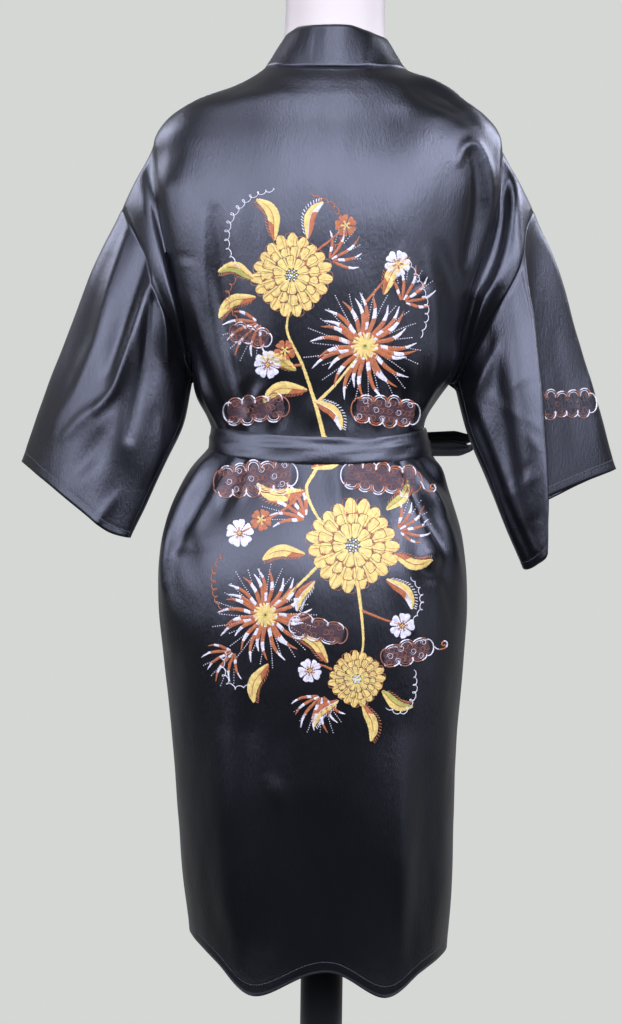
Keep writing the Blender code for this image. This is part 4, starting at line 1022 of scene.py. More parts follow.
def running_stitches(name, lines, finish):
    """Running stitches along lines of points with normals, each a small ridge."""
    points, faces = [], []
    rise = STITCH_HEIGHT * np.array([0.1, 1, 0.1])[:, None] * ROUNDED
    for line, out in lines:
        marks = distances(line)
        starts = np.arange(0, marks[-1] - STITCH_PITCH, STITCH_PITCH)
        places = starts[:, None] + STITCH_LENGTH * ALONG
        middle = np.stack([np.interp(places, marks, line[:, k]) for k in range(3)], -1)
        normal = unit(np.stack([np.interp(places, marks, out[:, k]) for k in range(3)], -1))
        side = unit(np.cross(normal, np.broadcast_to(middle[:, 2:] - middle[:, :1], middle.shape)))
        ridge = (middle[:, :, None] + side[:, :, None] * ACROSS[:, None] * STITCH_WIDTH / 2
                 + normal[:, :, None] * rise[..., None])
        faces.append(grid_faces(numbered(ridge, sum(len(part) for part in points))))
        points.append(ridge.reshape(-1, 3))
    return shape("stitches_" + name, np.concatenate(points), np.concatenate(faces), finish)


def settle(made, **values):
    """Sets a node's inputs; their names have _ for each space."""
    for name, value in values.items():
        made.inputs[name.replace("_", " ")].default_value = value
    return made


def node(tree, kind, **values):
    """A new shader node with values for its inputs."""
    return settle(tree.nodes.new("ShaderNode" + kind), **values)


def wire(tree, *links):
    """Joins nodes: each link is a node, its output, the next node and its input."""
    for start, output, end, entry in links:
        tree.links.new(start.outputs[output], end.inputs[entry])


def plain(name, colour, rough, specular=0.5, metallic=0.0):
    """A plain Principled material, with its node tree and its shader."""
    made = bpy.data.materials.new(name)
    made.use_nodes = True
    shader = settle(made.node_tree.nodes["Principled BSDF"], Base_Color=(*colour, 1), Roughness=rough,
                    Specular_IOR_Level=specular, Metallic=metallic)
    return made, made.node_tree, shader


def satin():
    """Black satin: a broad soft sheen, a fine weave and faint slubs."""
    made, tree, shader = plain("satin_black", SATIN, SATIN_ROUGH, SATIN_SPECULAR)
    settle(shader, Specular_Tint=(*SATIN_TINT, 1), Sheen_Weight=0.03, Sheen_Roughness=0.4,
           Sheen_Tint=(0.5, 0.5, 0.7, 1))
    place = node(tree, "TexCoord")
    uneven = node(tree, "TexNoise", Scale=9, Detail=3)
    spread = node(tree, "MapRange", To_Min=SATIN_ROUGH - SLUBS, To_Max=SATIN_ROUGH + SLUBS)
    stretch = node(tree, "Mapping", Scale=(1, 1, 0.35))
    weave = node(tree, "TexNoise", Scale=420, Detail=4, Roughness=0.7)
    bump = node(tree, "Bump", Strength=0.45, Distance=0.0008)
    wire(tree, (place, "Object", uneven, "Vector"), (uneven, "Fac", spread, "Value"),
         (spread, "Result", shader, "Roughness"), (place, "Object", stretch, "Vector"),
         (stretch, "Vector", weave, "Vector"), (weave, "Fac", bump, "Height"),
         (bump, "Normal", shader, "Normal"))
    return made


def thread(name, colour):
    """Glossy embroidery thread, with slight changes of tone from stitch to stitch."""
    made, tree, shader = plain("thread_" + name, colour, rough=0.42, specular=0.45)
    place = node(tree, "TexCoord")
    uneven = node(tree, "TexNoise", Scale=260)
    ramp = node(tree, "ValToRGB")
    for stop, position, share in zip(ramp.color_ramp.elements, (0.3, 0.62), (0.72, 1)):
        stop.position = position
        stop.color = (*(share * c for c in colour), 1)
    wire(tree, (place, "Object", uneven, "Vector"), (uneven, "Fac", ramp, "Fac"),
         (ramp, "Color", shader, "Base Color"))
    return made


def placed(name, data):
    """A new object in the scene."""
    made = bpy.data.objects.new(name, data)
    bpy.context.scene.collection.objects.link(made)
    return made


def shape(name, points, faces, finish, smooth=True):
    """A mesh object from points in millimetres."""
    mesh = bpy.data.meshes.new(name)
    faces = faces.tolist() if isinstance(faces, np.ndarray) else faces
    mesh.from_pydata((np.asarray(points) * MM).tolist(), [], faces)
    mesh.materials.append(finish)
    mesh.polygons.foreach_set("use_smooth", [smooth] * len(mesh.polygons))
    mesh.update()
    return placed(name, mesh)


def shell(net, piece, half, finish):
    """A cut piece of the net as a thin closed shell: half is half its thickness, at each point."""
    quads = net.quads(piece)
    used, local = np.unique(quads, return_inverse=True)
    quads = local.reshape(quads.shape)
    outward = net.normals[used] * half[used][:, None]
    points = np.concatenate([net.points[used] + outward, net.points[used] - outward])
    count = len(used)
    edges, faces_of = edges_of(quads)
    rim = edges[faces_of == 1]
    sides = np.stack([rim[:, 1], rim[:, 0], rim[:, 0] + count, rim[:, 1] + count], -1)
    faces = np.concatenate([quads, quads[:, ::-1] + count, sides])
    return shape("cloth_" + piece, points, tidy_faces(faces), finish)


def tidy_faces(faces):
    """Faces as lists, with the quads that share a corner made triangles."""
    tidy = []
    for face in faces.tolist():
        corners = [c for k, c in enumerate(face) if c != face[k - 1]]
        if len(set(corners)) > 2:
            tidy.append(corners)
    return tidy


def section(width, wall, points_across=9):
    """A flat band's closed section with soft edges, as (across, out) places."""
    across = np.sin(np.linspace(-math.pi / 2, math.pi / 2, points_across)) * width / 2
    late, least = EDGE_SOFT
    half = wall / 2 * np.maximum(1 - np.abs(across / (width / 2)) ** late, least) ** 0.5
    outer, inner = np.stack([across, half], -1), np.stack([across[::-1], -half[::-1]], -1)
    return np.concatenate([outer, inner])


def sweep(centres, wide, out, sections, closed=False):
    """Points and faces of a section carried along a route, each ring with its own two directions."""
    sections = np.asarray(sections)
    rings = (np.asarray(centres)[:, None] + np.asarray(wide)[:, None] * sections[..., :1]
             + np.asarray(out)[:, None] * sections[..., 1:])
    return rings.reshape(-1, 3), tube_faces(*rings.shape[:2], closed)


def directions(route, wide):
    """A route's ways across and out, from its own run and a rough way across."""
    ahead = unit(np.gradient(route, axis=0))
    wide = unit(wide - ahead * np.sum(ahead * wide, axis=1, keepdims=True))
    return wide, np.cross(ahead, wide)


def gathered(widths, gathers, creases, pleat, crease_depth, pitch, start=0.0):
    """Sections of a ribbon that is pleated where it is gathered, with a crease at a place across each."""
    sections = []
    for width, gather, crease in zip(widths, gathers, creases):
        places = section(width, LOOP_WALL, points_across=15)
        across = places[:, 0]
        pleats = pleat * gather * np.cos(across * pitch + start)
        places[:, 1] += pleats - crease_depth * np.exp(-((across - crease) / RIBBON_CREASE) ** 2)
        sections.append(places)
    return sections


def wave(size, pace, place, start=0):
    """A wave of this size and pace, at a place along it."""
    return size * np.sin(pace * place + start)


def sash_route(angles):
    """The sash's middle line on the robe's waist, with its ways across and out."""
    turns = np.where(angles <= RIGHT_FROM, angles, angles - 360)
    rows = []
    for height in (WAIST - SASH_WIDTH / 2, WAIST, WAIST + SASH_WIDTH / 2):
        _, out = ring(turns, *[column(np.full(len(turns), height)) for column in ROBE_AT.values()])
        rows.append(robe_point(turns, height) + out * SASH_OUT)
    low, middle, high = rows
    wide = unit(high - low)
    return middle, wide, np.cross(unit(np.roll(middle, -2, axis=0) - np.roll(middle, 2, axis=0)), wide)


def sash_ring(finish):
    """The sash round the waist, creased along its middle and eased here and there, and its stitch lines."""
    angles = np.linspace(0, 360, SASH_COLUMNS, endpoint=False)
    middle, wide, out = sash_route(angles)
    sections = []
    for t in np.radians(angles):
        wander, swell = (sum(wave(size, pace, t, start) for size, pace, start in parts)
                         for parts in SASH_WAVES)
        places = section(SASH_WIDTH + swell, SASH_WALL, points_across=17)
        across = places[:, 0]
        for rise, off, width in SASH_CREASES:
            places[:, 1] += rise * np.exp(-((across - wander - off) / width) ** 2)
        places[:, 1] += SASH_EASE * math.sin(9 * t + 1.5) * np.sin(across * 0.35 + 3 * t)
        sections.append(places)
    points, faces = sweep(middle, wide, out, sections, closed=True)
    rings = points.reshape(SASH_COLUMNS, -1, 3)
    lines = [(np.append(rings[:, k], rings[:1, k], axis=0), np.append(out, out[:1], axis=0))
             for k in SASH_STITCHES]
    return shape("sash_ring", points, faces, finish), lines


def bow_loop(name, loop, finish):
    """A loop of the bow, gathered where it leaves the knot."""
    x, y, z = KNOT_AT
    start, tip = KNOT_SIZE[0] / 2 + LOOP_STARTS, loop.reach - LOOP_TIP
    run = np.linspace(0, 1, LOOP_STEPS)
    over = np.stack([start + (tip - start) * run,
                     LOOP_ROOT + (LOOP_TIP - LOOP_ROOT) * soft_step(run, 0, 1)], -1)
    turns = np.linspace(0, math.pi, LOOP_STEPS // 2)[1:-1]
    round_tip = np.stack([tip + LOOP_TIP * np.sin(turns), LOOP_TIP * np.cos(turns)], -1)
    far, rise = np.concatenate([over, round_tip, over[::-1] * (1, -1)]).T
    share = far / loop.reach
    route = np.stack([x + loop.side * far, y + loop.swing * share ** 3,
                      z + rise - loop.droop * share ** 2], -1)
    tilt = math.radians(loop.tilt)
    wide, out = directions(route, np.tile((0, math.cos(tilt), math.sin(tilt)), (len(route), 1)))
    gather = 1 - soft_step(share, *LOOP_GATHERED)
    point = 1 - LOOP_POINT * soft_step(share, *LOOP_POINTED)
    creases = wave(*LOOP_WANDER, np.arange(len(share)))
    sections = gathered((SASH_WIDTH - LOOP_NARROWS) * (1 - LOOP_GATHER * gather) * point, gather, creases,
                        pleat=1.3, crease_depth=0.5, pitch=0.95, start=0.4)
    return shape("bow_" + name, *sweep(route, wide, out, sections), finish)


def tail(name, end, finish):
    """A hanging end of the sash, which falls down the front with a slow wave."""
    top = KNOT_AT[2] - KNOT_SIZE[2] / 2 + TAIL_TOP
    t = np.linspace(0, 1, TAIL_STEPS)
    height = top + (end.foot - top) * t
    x = KNOT_AT[0] + end.x_top + (end.x_foot - end.x_top) * t + wave(*TAIL_ACROSS, t) * t
    y = chest_point(x, height, False)[:, 1] - SASH_OUT
    fall = soft_step(t, 0, TAIL_SEAT)
    y = np.minimum(y - TAIL_STANDS, KNOT_AT[1] * (1 - fall) + y * fall)
    route = np.stack([x, y - np.abs(wave(*TAIL_OUT, t)) * t, height], -1)
    sway = np.radians(wave(*TAIL_TURN, t, end.x_top))
    wide, out = directions(route, np.stack([np.cos(sway), -np.sin(sway) * t, 0 * t], -1))
    gather = 1 - soft_step(t, *TAIL_GATHERED)
    sections = gathered((SASH_WIDTH - TAIL_NARROWS) * (1 - TAIL_GATHER * gather), gather,
                        wave(*TAIL_WANDER, t), pleat=1.2, crease_depth=0.55, pitch=0.9)
    return shape("bow_" + name, *sweep(route, wide, out, sections), finish)


def knot(finish):
    """The knot: a soft squared lump, wrapped by the sash from top to bottom."""
    turns = circle(KNOT_SIDES)
    depth, pace, slant = KNOT_WRINKLES
    rings = []
    for tilt in math.pi * (np.arange(KNOT_RINGS + 1) / KNOT_RINGS - 0.5):
        flat = math.cos(tilt)
        way = np.stack([np.cos(turns) * flat, np.sin(turns) * flat, np.full(KNOT_SIDES, math.sin(tilt))], -1)
        soft = np.sign(way) * np.abs(way) ** KNOT_SQUARE
        crest = 1 + np.cos(pace * way[:, 0] + slant * way[:, 2])
        wrinkle = 1 - depth * crest * (1 - np.abs(way[:, 0]) ** 3)
        rings.append(np.array(KNOT_AT) + np.array(KNOT_SIZE) / 2 * soft * wrinkle[:, None])
    return shape("bow_knot", np.concatenate(rings), tube_faces(KNOT_RINGS + 1, KNOT_SIDES)[:-2], finish)


class Field:
    """The cloth seen straight on, from behind (side 1) or from the front (side -1)."""

    def __init__(self, tree, side, x_span, z_span):
        self.side, self.low = side, (x_span[0], z_span[0])
        xs = np.arange(x_span[0], x_span[1] + FIELD_STEP, FIELD_STEP)
        zs = np.arange(z_span[0], z_span[1] + FIELD_STEP, FIELD_STEP)
        self.depth = np.full((len(zs), len(xs)), np.nan)
        way = Vector((0, -side, 0))
        for i, z in enumerate(zs):
            for j, x in enumerate(xs):
                hit = tree.ray_cast(Vector((x, FIELD_FAR * side, z)), way)[0]
                if hit:
                    self.depth[i, j] = hit.y
        gap = np.isnan(self.depth)
        self.depth[gap] = np.nanmean(self.depth)
        self.slope_z, self.slope_x = np.gradient(self.depth, FIELD_STEP)

    def read(self, values, at):
        """The field's values between its cells, at these (x, z) places."""
        x = np.clip((at[..., 0] - self.low[0]) / FIELD_STEP, 0, values.shape[1] - 1.001)
        z = np.clip((at[..., 1] - self.low[1]) / FIELD_STEP, 0, values.shape[0] - 1.001)
        j, i = x.astype(int), z.astype(int)
        u, v = x - j, z - i
        low = values[i, j] * (1 - u) + values[i, j + 1] * u
        high = values[i + 1, j] * (1 - u) + values[i + 1, j + 1] * u
        return low * (1 - v) + high * v

    def place(self, at, height):
        """Points on the cloth at these (x, z) places, raised by a height."""
        surface = np.stack([at[..., 0], self.read(self.depth, at), at[..., 1]], -1)
        slopes = self.read(self.slope_x, at), self.read(self.slope_z, at)
        normal = unit(np.stack([-slopes[0], np.ones(at.shape[:-1]), -slopes[1]], -1))
        return surface + normal * self.side * np.asarray(height)[..., None]


class Embroidery:
    """Raised threads of several colours, laid on a field of cloth."""

    def __init__(self, field, seed):
        self.field = field
        self.random = np.random.default_rng(seed)
        self.points = {}
        self.faces = {}

    def keep(self, colour, points):
        """Keeps one grid of points or several in a colour, with the faces between them."""
        kept = self.points.setdefault(colour, [])
        number = numbered(points, sum(len(part) for part in kept))
        self.faces.setdefault(colour, []).append(grid_faces(number))
        kept.append(points.reshape(-1, 3))

    def stitches(self, colour, starts, ends, width, height, base=0.0):
        """Straight stitches, each a small ridge that rises out of the cloth and dips back."""
        if not len(starts):
            return
        run = ends - starts
        wide = width * self.random.uniform(*WIDTH_VARIES, len(starts))
        tall = height * self.random.uniform(*HEIGHT_VARIES, len(starts))
        at = (starts[:, None, None] + run[:, None, None] * ALONG[:, None, None]
              + beside(run)[:, None, None] * ACROSS[:, None] * (wide / 2)[:, None, None, None])
        rise = tall[:, None, None] * np.array([0.15, 1, 0.15])[:, None] * ROUNDED
        self.keep(colour, self.field.place(at, base + THREAD_BASE + rise))

    def dot(self, colour, at, half, width, height, base):
        """A single short stitch, like a knot."""
        self.stitches(colour, np.array([at - (half, 0)]), np.array([at + (half, 0)]), width, height, base)

    def cord(self, colours, route, width=CORD, base=0.0):
        """A couched cord along a smooth route, with a slight twist, in one colour or in turns of several."""
        route = smooth_route(route, CORD_STEP)
        side = beside(np.gradient(route, axis=0))
        across = np.array([-1, -0.45, 0.45, 1])
        ridge = np.array([0.1, 0.9, 0.9, 0.1])
        number = np.arange(len(route))
        twist = 1 + 0.14 * (-1) ** number
        ends = np.minimum(np.minimum(number, number[::-1]) / 2, 1) * 0.6 + 0.4
        at = route[:, None] + side[:, None] * (across[:, None] * width / 2 * (twist * ends)[:, None, None])
        points = self.field.place(at, base + THREAD_BASE + width * 0.75 * twist[:, None] * ridge)
        colours = (colours,) if isinstance(colours, str) else colours
        turn = len(route) if len(colours) == 1 else CORD_TURN
        for n, first in enumerate(range(0, len(route) - 1, turn)):
            self.keep(colours[n % len(colours)], points[first:first + turn + 1])

    def column(self, shades, route, left, right, slant=0.45, base=0.0, height=THREAD_HEIGHT):
        """A satin column along a route: left and right give its half widths at each share of its length."""
        route = smooth_route(route, THREAD_STEP)
        run = unit(np.gradient(route, axis=0))
        side = beside(run)
        share = np.linspace(0, 1, len(route))
        w_left, w_right = (
            half(share) + self.random.uniform(-EDGE_VARIES, EDGE_VARIES, len(share)) * (half(share) > 0.6)
            for half in (left, right))
        starts = route + side * w_left[:, None] + run * (slant * w_left)[:, None]
        lean = slant if left(0.5) == 0 else -slant
        ends = route - side * w_right[:, None] + run * (lean * w_right)[:, None]
        mixed = share + self.random.uniform(-TONE_VARIES, TONE_VARIES, len(share))
        since = -1
        for colour, until in SHADES[shades]:
            chosen = (mixed > since) & (mixed <= until) & (w_left + w_right > 0.5)
            self.stitches(colour, starts[chosen], ends[chosen], THREAD_STEP * THREAD_OVERLAP, height, base)
            since = until

    def petal(self, base_at, tip_at, width, bend, halves, base=0.0, vein=0.35, belly=0.8):
        """A petal or leaf of two satin halves that slant away from its vein."""
        spine = bent(base_at, tip_at, bend)

        def half(share):
            swell = np.sin(np.pi * share ** belly) ** 0.8
            return np.where(swell > 0.05, vein + (width / 2 - vein) * swell, 0)

        def none(share):
            return 0 * share

        for shades, left, right in zip(halves, (half, none), (none, half)):
            self.column(shades, spine, left, right, slant=0.7, base=base)

    def blade(self, base_at, tip_at, width, bend, shades, base=0.0):
        """A slender blade or petal in one slanting satin column."""
        def half(share):
            return width / 2 * np.sin(np.pi * (0.04 + 0.94 * share) ** 0.75) ** 0.7

        self.column(shades, bent(base_at, tip_at, bend), half, half, slant=0.5, base=base)

    def beads(self, colour, route, pitch, size):
        """A row of knots along a route."""
        route = smooth_route(route, pitch)
        self.stitches(colour, route - (size / 2, 0), route + (size / 2, 0), size * 0.9, size * 0.6)

    def objects(self, name, finishes):
        """Makes one object of each colour."""
        for colour, parts in self.points.items():
            faces = np.concatenate(self.faces[colour])
            faces = faces[:, ::-1] if self.field.side < 0 else faces
            yield shape(f"{name}_{colour}", np.concatenate(parts), faces, finishes[colour])


def smooth_route(route, step):
    """A smooth curve through a route's points, in equal steps."""
    fine = through(range(len(route)), route)(np.linspace(0, len(route) - 1, 12 * len(route)))
    marks = distances(fine)
    even = np.linspace(0, marks[-1], max(int(marks[-1] / step), 3) + 1)
    return np.stack([np.interp(even, marks, fine[:, k]) for k in range(2)], -1)


def bent(start, end, bend):
    """Five points from start to end, bowed sideways by a share of the length."""
    start, end = np.asarray(start, float), np.asarray(end, float)
    t = np.linspace(0, 1, 5)[:, None]
    run = end - start
    return start + run * t + np.array([-run[1], run[0]]) * bend * np.sin(np.pi * t ** 1.3)


def polar(centre, radius, degrees):
    """A place at a distance from a centre, in a direction."""
    turn = math.radians(degrees)
    return np.array([centre[0] + radius * math.cos(turn), centre[1] + radius * math.sin(turn)])


def spiral(reach, loss, degrees, count=9):
    """The radii and the angles of a curl that loses a share of its reach."""
    share = np.linspace(0, 1, count)
    return reach * (1 - loss * share), np.radians(degrees * share)


def gold_bloom(work, bloom):
    """A full gold chrysanthemum: three rings of cupped petals, rust at their feet, round a knotted eye."""
    centre = (bloom.x, bloom.z)
    for k, row in enumerate(GOLD_RINGS):
        gap = 360 / row.petals
        low = bloom.radius * (row.inner + 0.1)
        for n in range(row.petals):
            angle = bloom.turn + gap * (n + 0.5 * k)
            reach = bloom.radius * row.outer * (1 + 0.06 * math.sin(5 * n + k))
            width = 2 * math.pi * bloom.radius * row.outer * 0.84 / row.petals
            foot, tip = polar(centre, bloom.radius * row.inner, angle), polar(centre, reach, angle + 4)
            work.petal(foot, tip, width, bend=0.06, halves=(row.shades, row.shades), base=row.base)
            rim = [polar(centre, far, angle + gap * off) for far, off in
                   ((low, -0.34), (reach * 0.95, -0.3), (reach * 0.95, 0.38), (low, 0.38))]
            work.cord(row.line, rim[:2] + [tip] + rim[2:], width=0.6, base=row.base + 0.15)
    for share, count in EYE_RINGS:
        for n in range(count):
            at = polar(centre, bloom.radius * share, 360 * n / count)
            work.dot("lime" if n % 2 else "white", at, half=0.9, width=1.6, height=1.0, base=0.9)


def spider_bloom(work, bloom):
    """A spider chrysanthemum: long slender petals in banded thread, with beaded hairs between them."""
    centre = (bloom.x, bloom.z)
    for n in range(SPIDER_PETALS):
        angle = bloom.turn + 360 * n / SPIDER_PETALS
        reach = bloom.radius * (1 - 0.09 * (n % 3) + 0.05 * math.sin(4 * n))
        foot = polar(centre, bloom.radius * 0.12, angle)
        tip = polar(centre, reach, angle + 5 * math.sin(1.7 * n))
        shades = ("banded", "banded_late", "tipped")[n % 3]
        work.blade(foot, tip, bloom.radius * 0.076, bend=0.11, shades=shades, base=0.12 * (n % 3))
        between = angle + 180 / SPIDER_PETALS
        hair = [polar(centre, reach * share, between + 5 * share) for share in SPIDER_HAIR]
        work.beads("white", hair, pitch=2.4, size=1.0)
    for n in range(SPIDER_EYE):
        turn = 360 * n / SPIDER_EYE
        foot, tip = polar(centre, 1.5, turn), polar(centre, bloom.radius * 0.25, turn + 12)
        work.blade(foot, tip, width=3.2, bend=0.14, shades="gold", base=0.6)
    for n in range(6):
        work.dot("lime", polar(centre, 1.8, 60 * n), half=0.8, width=1.6, height=1.1, base=1.2)


def small_blossom(work, bloom):
    """A five-petalled blossom with a gold eye."""
    centre = (bloom.x, bloom.z)
    heart = "rust" if bloom.kind == "white" else "gold"
    for n in range(5):
        angle = bloom.turn + 72 * n
        work.petal(polar(centre, 1.6, angle), polar(centre, bloom.radius, angle), bloom.radius * 0.95,
                   bend=0.03, halves=(bloom.kind, bloom.kind), vein=0.25, belly=0.95)
        starts = np.array([polar(centre, 2.0, angle + off) for off in (-8, 8)])
        ends = np.array([polar(centre, bloom.radius * 0.5, angle + off) for off in (-7, 7)])
        work.stitches(heart, starts, ends, width=0.8, height=0.5, base=0.5)
    for n in range(4):
        work.dot("gold", polar(centre, 1.3, 90 * n), half=0.8, width=1.5, height=1.0, base=0.5)


def leaf_spray(work, leaf):
    """A long leaf of two tones with a cord for its vein and a fringe of short strokes along one edge."""
    base_at = np.array([leaf.x, leaf.z], float)
    tip_at = polar(base_at, leaf.length, leaf.turn)
    halves = {"gold": ("gold", "gold_foot"), "rust": ("tipped", "gold"), "lime": ("gold", "lime")}[leaf.kind]
    vein, fringe = ("white", "white") if leaf.kind == "rust" else ("rust", "rust")
    width = leaf.length * 0.27
    work.petal(base_at, tip_at, width, leaf.bend, halves, vein=0.45)
    spine = smooth_route(bent(base_at, tip_at, leaf.bend), 2.6)
    work.cord(vein, spine[:-3:2], width=0.6, base=0.25)
    run = unit(np.gradient(spine, axis=0))
    side = beside(run)
    share = np.linspace(0, 1, len(spine))
    edge = width / 2 * np.sin(np.pi * share ** 0.8) ** 0.8 + 0.9
    feet = (spine - side * edge[:, None] + run * (0.7 * edge)[:, None])[1:-1]
    work.stitches(fringe, feet, feet + (run * 2.2 - side * 2.4)[1:-1], width=0.8, height=0.5)


def plume(work, row):
    """Slender blades of banded thread fanned out from one foot, with beaded hairs between them."""
    foot = np.array([row.x, row.z], float)
    for n in range(row.blades):
        share = n / (row.blades - 1) - 0.5
        reach = row.length * (1 - 0.9 * share ** 2 - 0.08 * (n % 2))
        start = polar(foot, row.length * 0.1, row.turn + row.fan * share)
        tip = polar(foot, reach, row.turn + row.fan * share * 1.1)
        shades = ("banded", "tipped", "banded_late")[n % 3]
        work.blade(start, tip, row.length * 0.07, bend=0.1, shades=shades, base=0.1 * (n % 2))
        if n:
            way = row.turn + row.fan * (share - 0.5 / (row.blades - 1))
            hair = [polar(foot, reach * far, way) for far in PLUME_HAIR]
            work.beads("white", hair, pitch=2.4, size=0.9)


def scroll_frame(scroll):
    """A function that gives places along and across a scroll, from its middle."""
    tilt = math.radians(scroll.turn)
    ahead, aside = np.array([math.cos(tilt), math.sin(tilt)]), np.array([-math.sin(tilt), math.cos(tilt)])

    def at(u, v):
        return np.array([scroll.x, scroll.z]) + np.multiply.outer(u, ahead) + np.multiply.outer(v, aside)

    return at


def scroll_ground(work, scroll, at):
    """Rows of dark stitches that fill the scroll."""
    half, long = scroll.height / 2, scroll.length / 2
    us = np.arange(-long - 2, long + 2, THREAD_STEP)
    top = half * (0.66 + 0.14 * np.abs(np.cos(np.pi * us / (scroll.length / scroll.lobes))))
    for low, high in GROUND_ROWS:
        work.stitches("plum", at(us, top * low), at(us + 1.5, top * high),
                      width=THREAD_STEP * 1.2, height=0.25)


def scroll_outline(work, scroll, at):
    """Scallops along both edges, each with a thin line inside it, and a round cap at each end."""
    half, long = scroll.height / 2, scroll.length / 2
    pitch = scroll.length / scroll.lobes
    turns = np.radians(np.linspace(*LOBE_TURNS, SCROLL_POINTS))
    for edge, colours, inset, width in ((1, (scroll.first, scroll.second), 0, OUTLINE),
                                        (-1, (scroll.second, scroll.first), 0, OUTLINE),
                                        (1, scroll.second, INLINE_INSET, INLINE),
                                        (-1, scroll.first, INLINE_INSET, INLINE)):
        for n in range(scroll.lobes):
            u = -long + pitch * (n + 0.5) + (pitch * 0.2 if edge < 0 else 0)
            swell = half * (0.42 + 0.1 * math.sin(2.3 * n + scroll.x)) - inset
            reach = pitch * 0.54 - inset
            lobe = at(u - reach * np.cos(turns), edge * (half * 0.56 + swell * np.sin(turns)))
            work.cord(colours, lobe, width, base=0.15)
    turns = np.radians(np.linspace(*CAP_TURNS, SCROLL_POINTS))
    for end, colour in ((1, scroll.first), (-1, scroll.second)):
        cap = at(end * (long + half * 0.5 * np.cos(turns)), half * 0.7 * np.sin(turns))
        work.cord(colour, cap, CAP_WIDTH, base=0.15)


def scroll_curls(work, scroll, at):
    """Three rows of small curls inside the scroll."""
    half, long = scroll.height / 2, scroll.length / 2
    size, turns = spiral(*CURL)
    across = int(scroll.length / CURL_PITCH)
    for n in range(across):
        for row in (-1, 0, 1):
            u = -long + (n + 0.5 + 0.5 * (row % 2)) * scroll.length / across - 1.2
            v = row * half * 0.5 + 0.5 * math.sin(3.1 * n + row)
            colour = INSIDES[scroll.inside][(2 * n + row) % 5]
            curl = at(u + size * np.cos(turns), v + size * np.sin(turns * (-1) ** n))
            work.cord(colour, curl, CURL_WIDTH, base=0.25)


def scroll_hook(work, scroll, at):
    """A cord that runs down one end of the scroll and out into a curl."""
    half = scroll.height / 2
    end = scroll.hook * (scroll.length / 2 + half * 0.4)
    size, turns = spiral(*HOOK)
    curl = at(end + scroll.hook * (HOOK_REACH + size * np.sin(turns)),
              -half * 0.5 + HOOK[0] - size * np.cos(turns))
    start = at(end + scroll.hook * np.array([0, 6]), half * np.array([0.1, -0.42]))
    work.cord(("white", "rust"), np.concatenate([start, curl]), HOOK_WIDTH, base=0.1)


def cloud(work, scroll):
    """A cloud scroll: small curls in a scalloped outline, most on a dark ground and some with a hook."""
    at = scroll_frame(scroll)
    if scroll.inside != "bare":
        scroll_ground(work, scroll, at)
    scroll_outline(work, scroll, at)
    scroll_curls(work, scroll, at)
    if scroll.hook:
        scroll_hook(work, scroll, at)


def tendril(work, line):
    """A thin cord that runs along a line in small closed loops."""
    step = 0.5
    route = smooth_route(line.line, step)
    run = unit(np.gradient(route, axis=0))
    turn = np.arange(len(route)) * step / line.pitch * 2 * math.pi
    fade = 0.45 + 0.55 * np.sin(np.pi * np.linspace(0, 1, len(route)))
    swing = beside(run) * np.sin(turn)[:, None] - run * (np.cos(turn)[:, None] - 1)
    work.cord(line.colour, (route + swing * (line.size * fade)[:, None])[::2], width=0.8)


def embroider(tree, finishes):
    """The back's spray of chrysanthemums, leaves and clouds, and the cloud band on the right sleeve."""
    for name, low, high in (("upper", SPRAY_MIDDLE, SPRAY_TOP), ("lower", SPRAY_FOOT, SPRAY_MIDDLE)):
        work = Embroidery(Field(tree, 1, BACK_SPAN, (low - FIELD_MARGIN, high + FIELD_MARGIN)), SPRAY_SEED)
        for rows, maker in ((BRANCHES, branch), (TENDRILS, tendril), (CLOUDS, cloud), (PLUMES, plume),
                            (LEAVES, leaf_spray), (BLOOMS, bloom_of)):
            for row in rows:
                if low <= centre_height(row) < high:
                    maker(work, row)
        yield from work.objects("embroidery_" + name, finishes)
    for name, side in (("sleeve_back", 1), ("sleeve_front", -1)):
        work = Embroidery(Field(tree, side, *SLEEVE_SPANS), SLEEVE_SEED)
        for row in SLEEVE_CLOUDS:
            if row.side == side:
                cloud(work, row)
        yield from work.objects("embroidery_" + name, finishes)


def centre_height(row):
    """The height that says whether a motif is in the upper or the lower part."""
    return row.line[len(row.line) // 2][1] if hasattr(row, "line") else row.z


def bloom_of(work, bloom):
    """A bloom of any kind."""
    {"gold": gold_bloom, "spider": spider_bloom}.get(bloom.kind, small_blossom)(work, bloom)


def branch(work, stem):
    """A stem as a narrow satin column that thins towards its tip."""
    def half(share):
        return stem.width / 2 * (1 - 0.55 * share)

    work.column(stem.colour, stem.line, half, half, slant=0.6)


def stack(rings, finish, name):
    """A smooth body over a stack of equal rings, with a flat face at each end."""
    rings = np.asarray(rings)
    made = shape(name, rings.reshape(-1, 3), tube_faces(*rings.shape[:2]), finish)
    for cap in made.data.polygons[-2:]:
        cap.use_smooth = False
    return made


def dress_form(finish):
    """The smooth torso with its neck, rounded over at the top."""
    half, back, front = columns_of(FORM).values()
    heights = [row.height for row in FORM[:2]] + list(np.arange(FORM[2].height, FORM[-3].height, FORM_ROW))
    heights += list(np.linspace(FORM[-3].height, FORM[-1].height, FORM_TOP_ROWS))
    angles = -np.linspace(0, 360, FORM_COLUMNS, endpoint=False)
    rings = []
    for height in heights:
        at = np.full(FORM_COLUMNS, float(height))
        points, _ = ring(angles, half(at), half(at), back(at), front(at))
        fade = 1 - soft_step(height, *DIP_ENDS)
        points[:, 2] = height - FORM_CLEAR - neck_dip(angles, height) * fade
        rings.append(points)
    return stack(rings, finish, "dress_form")


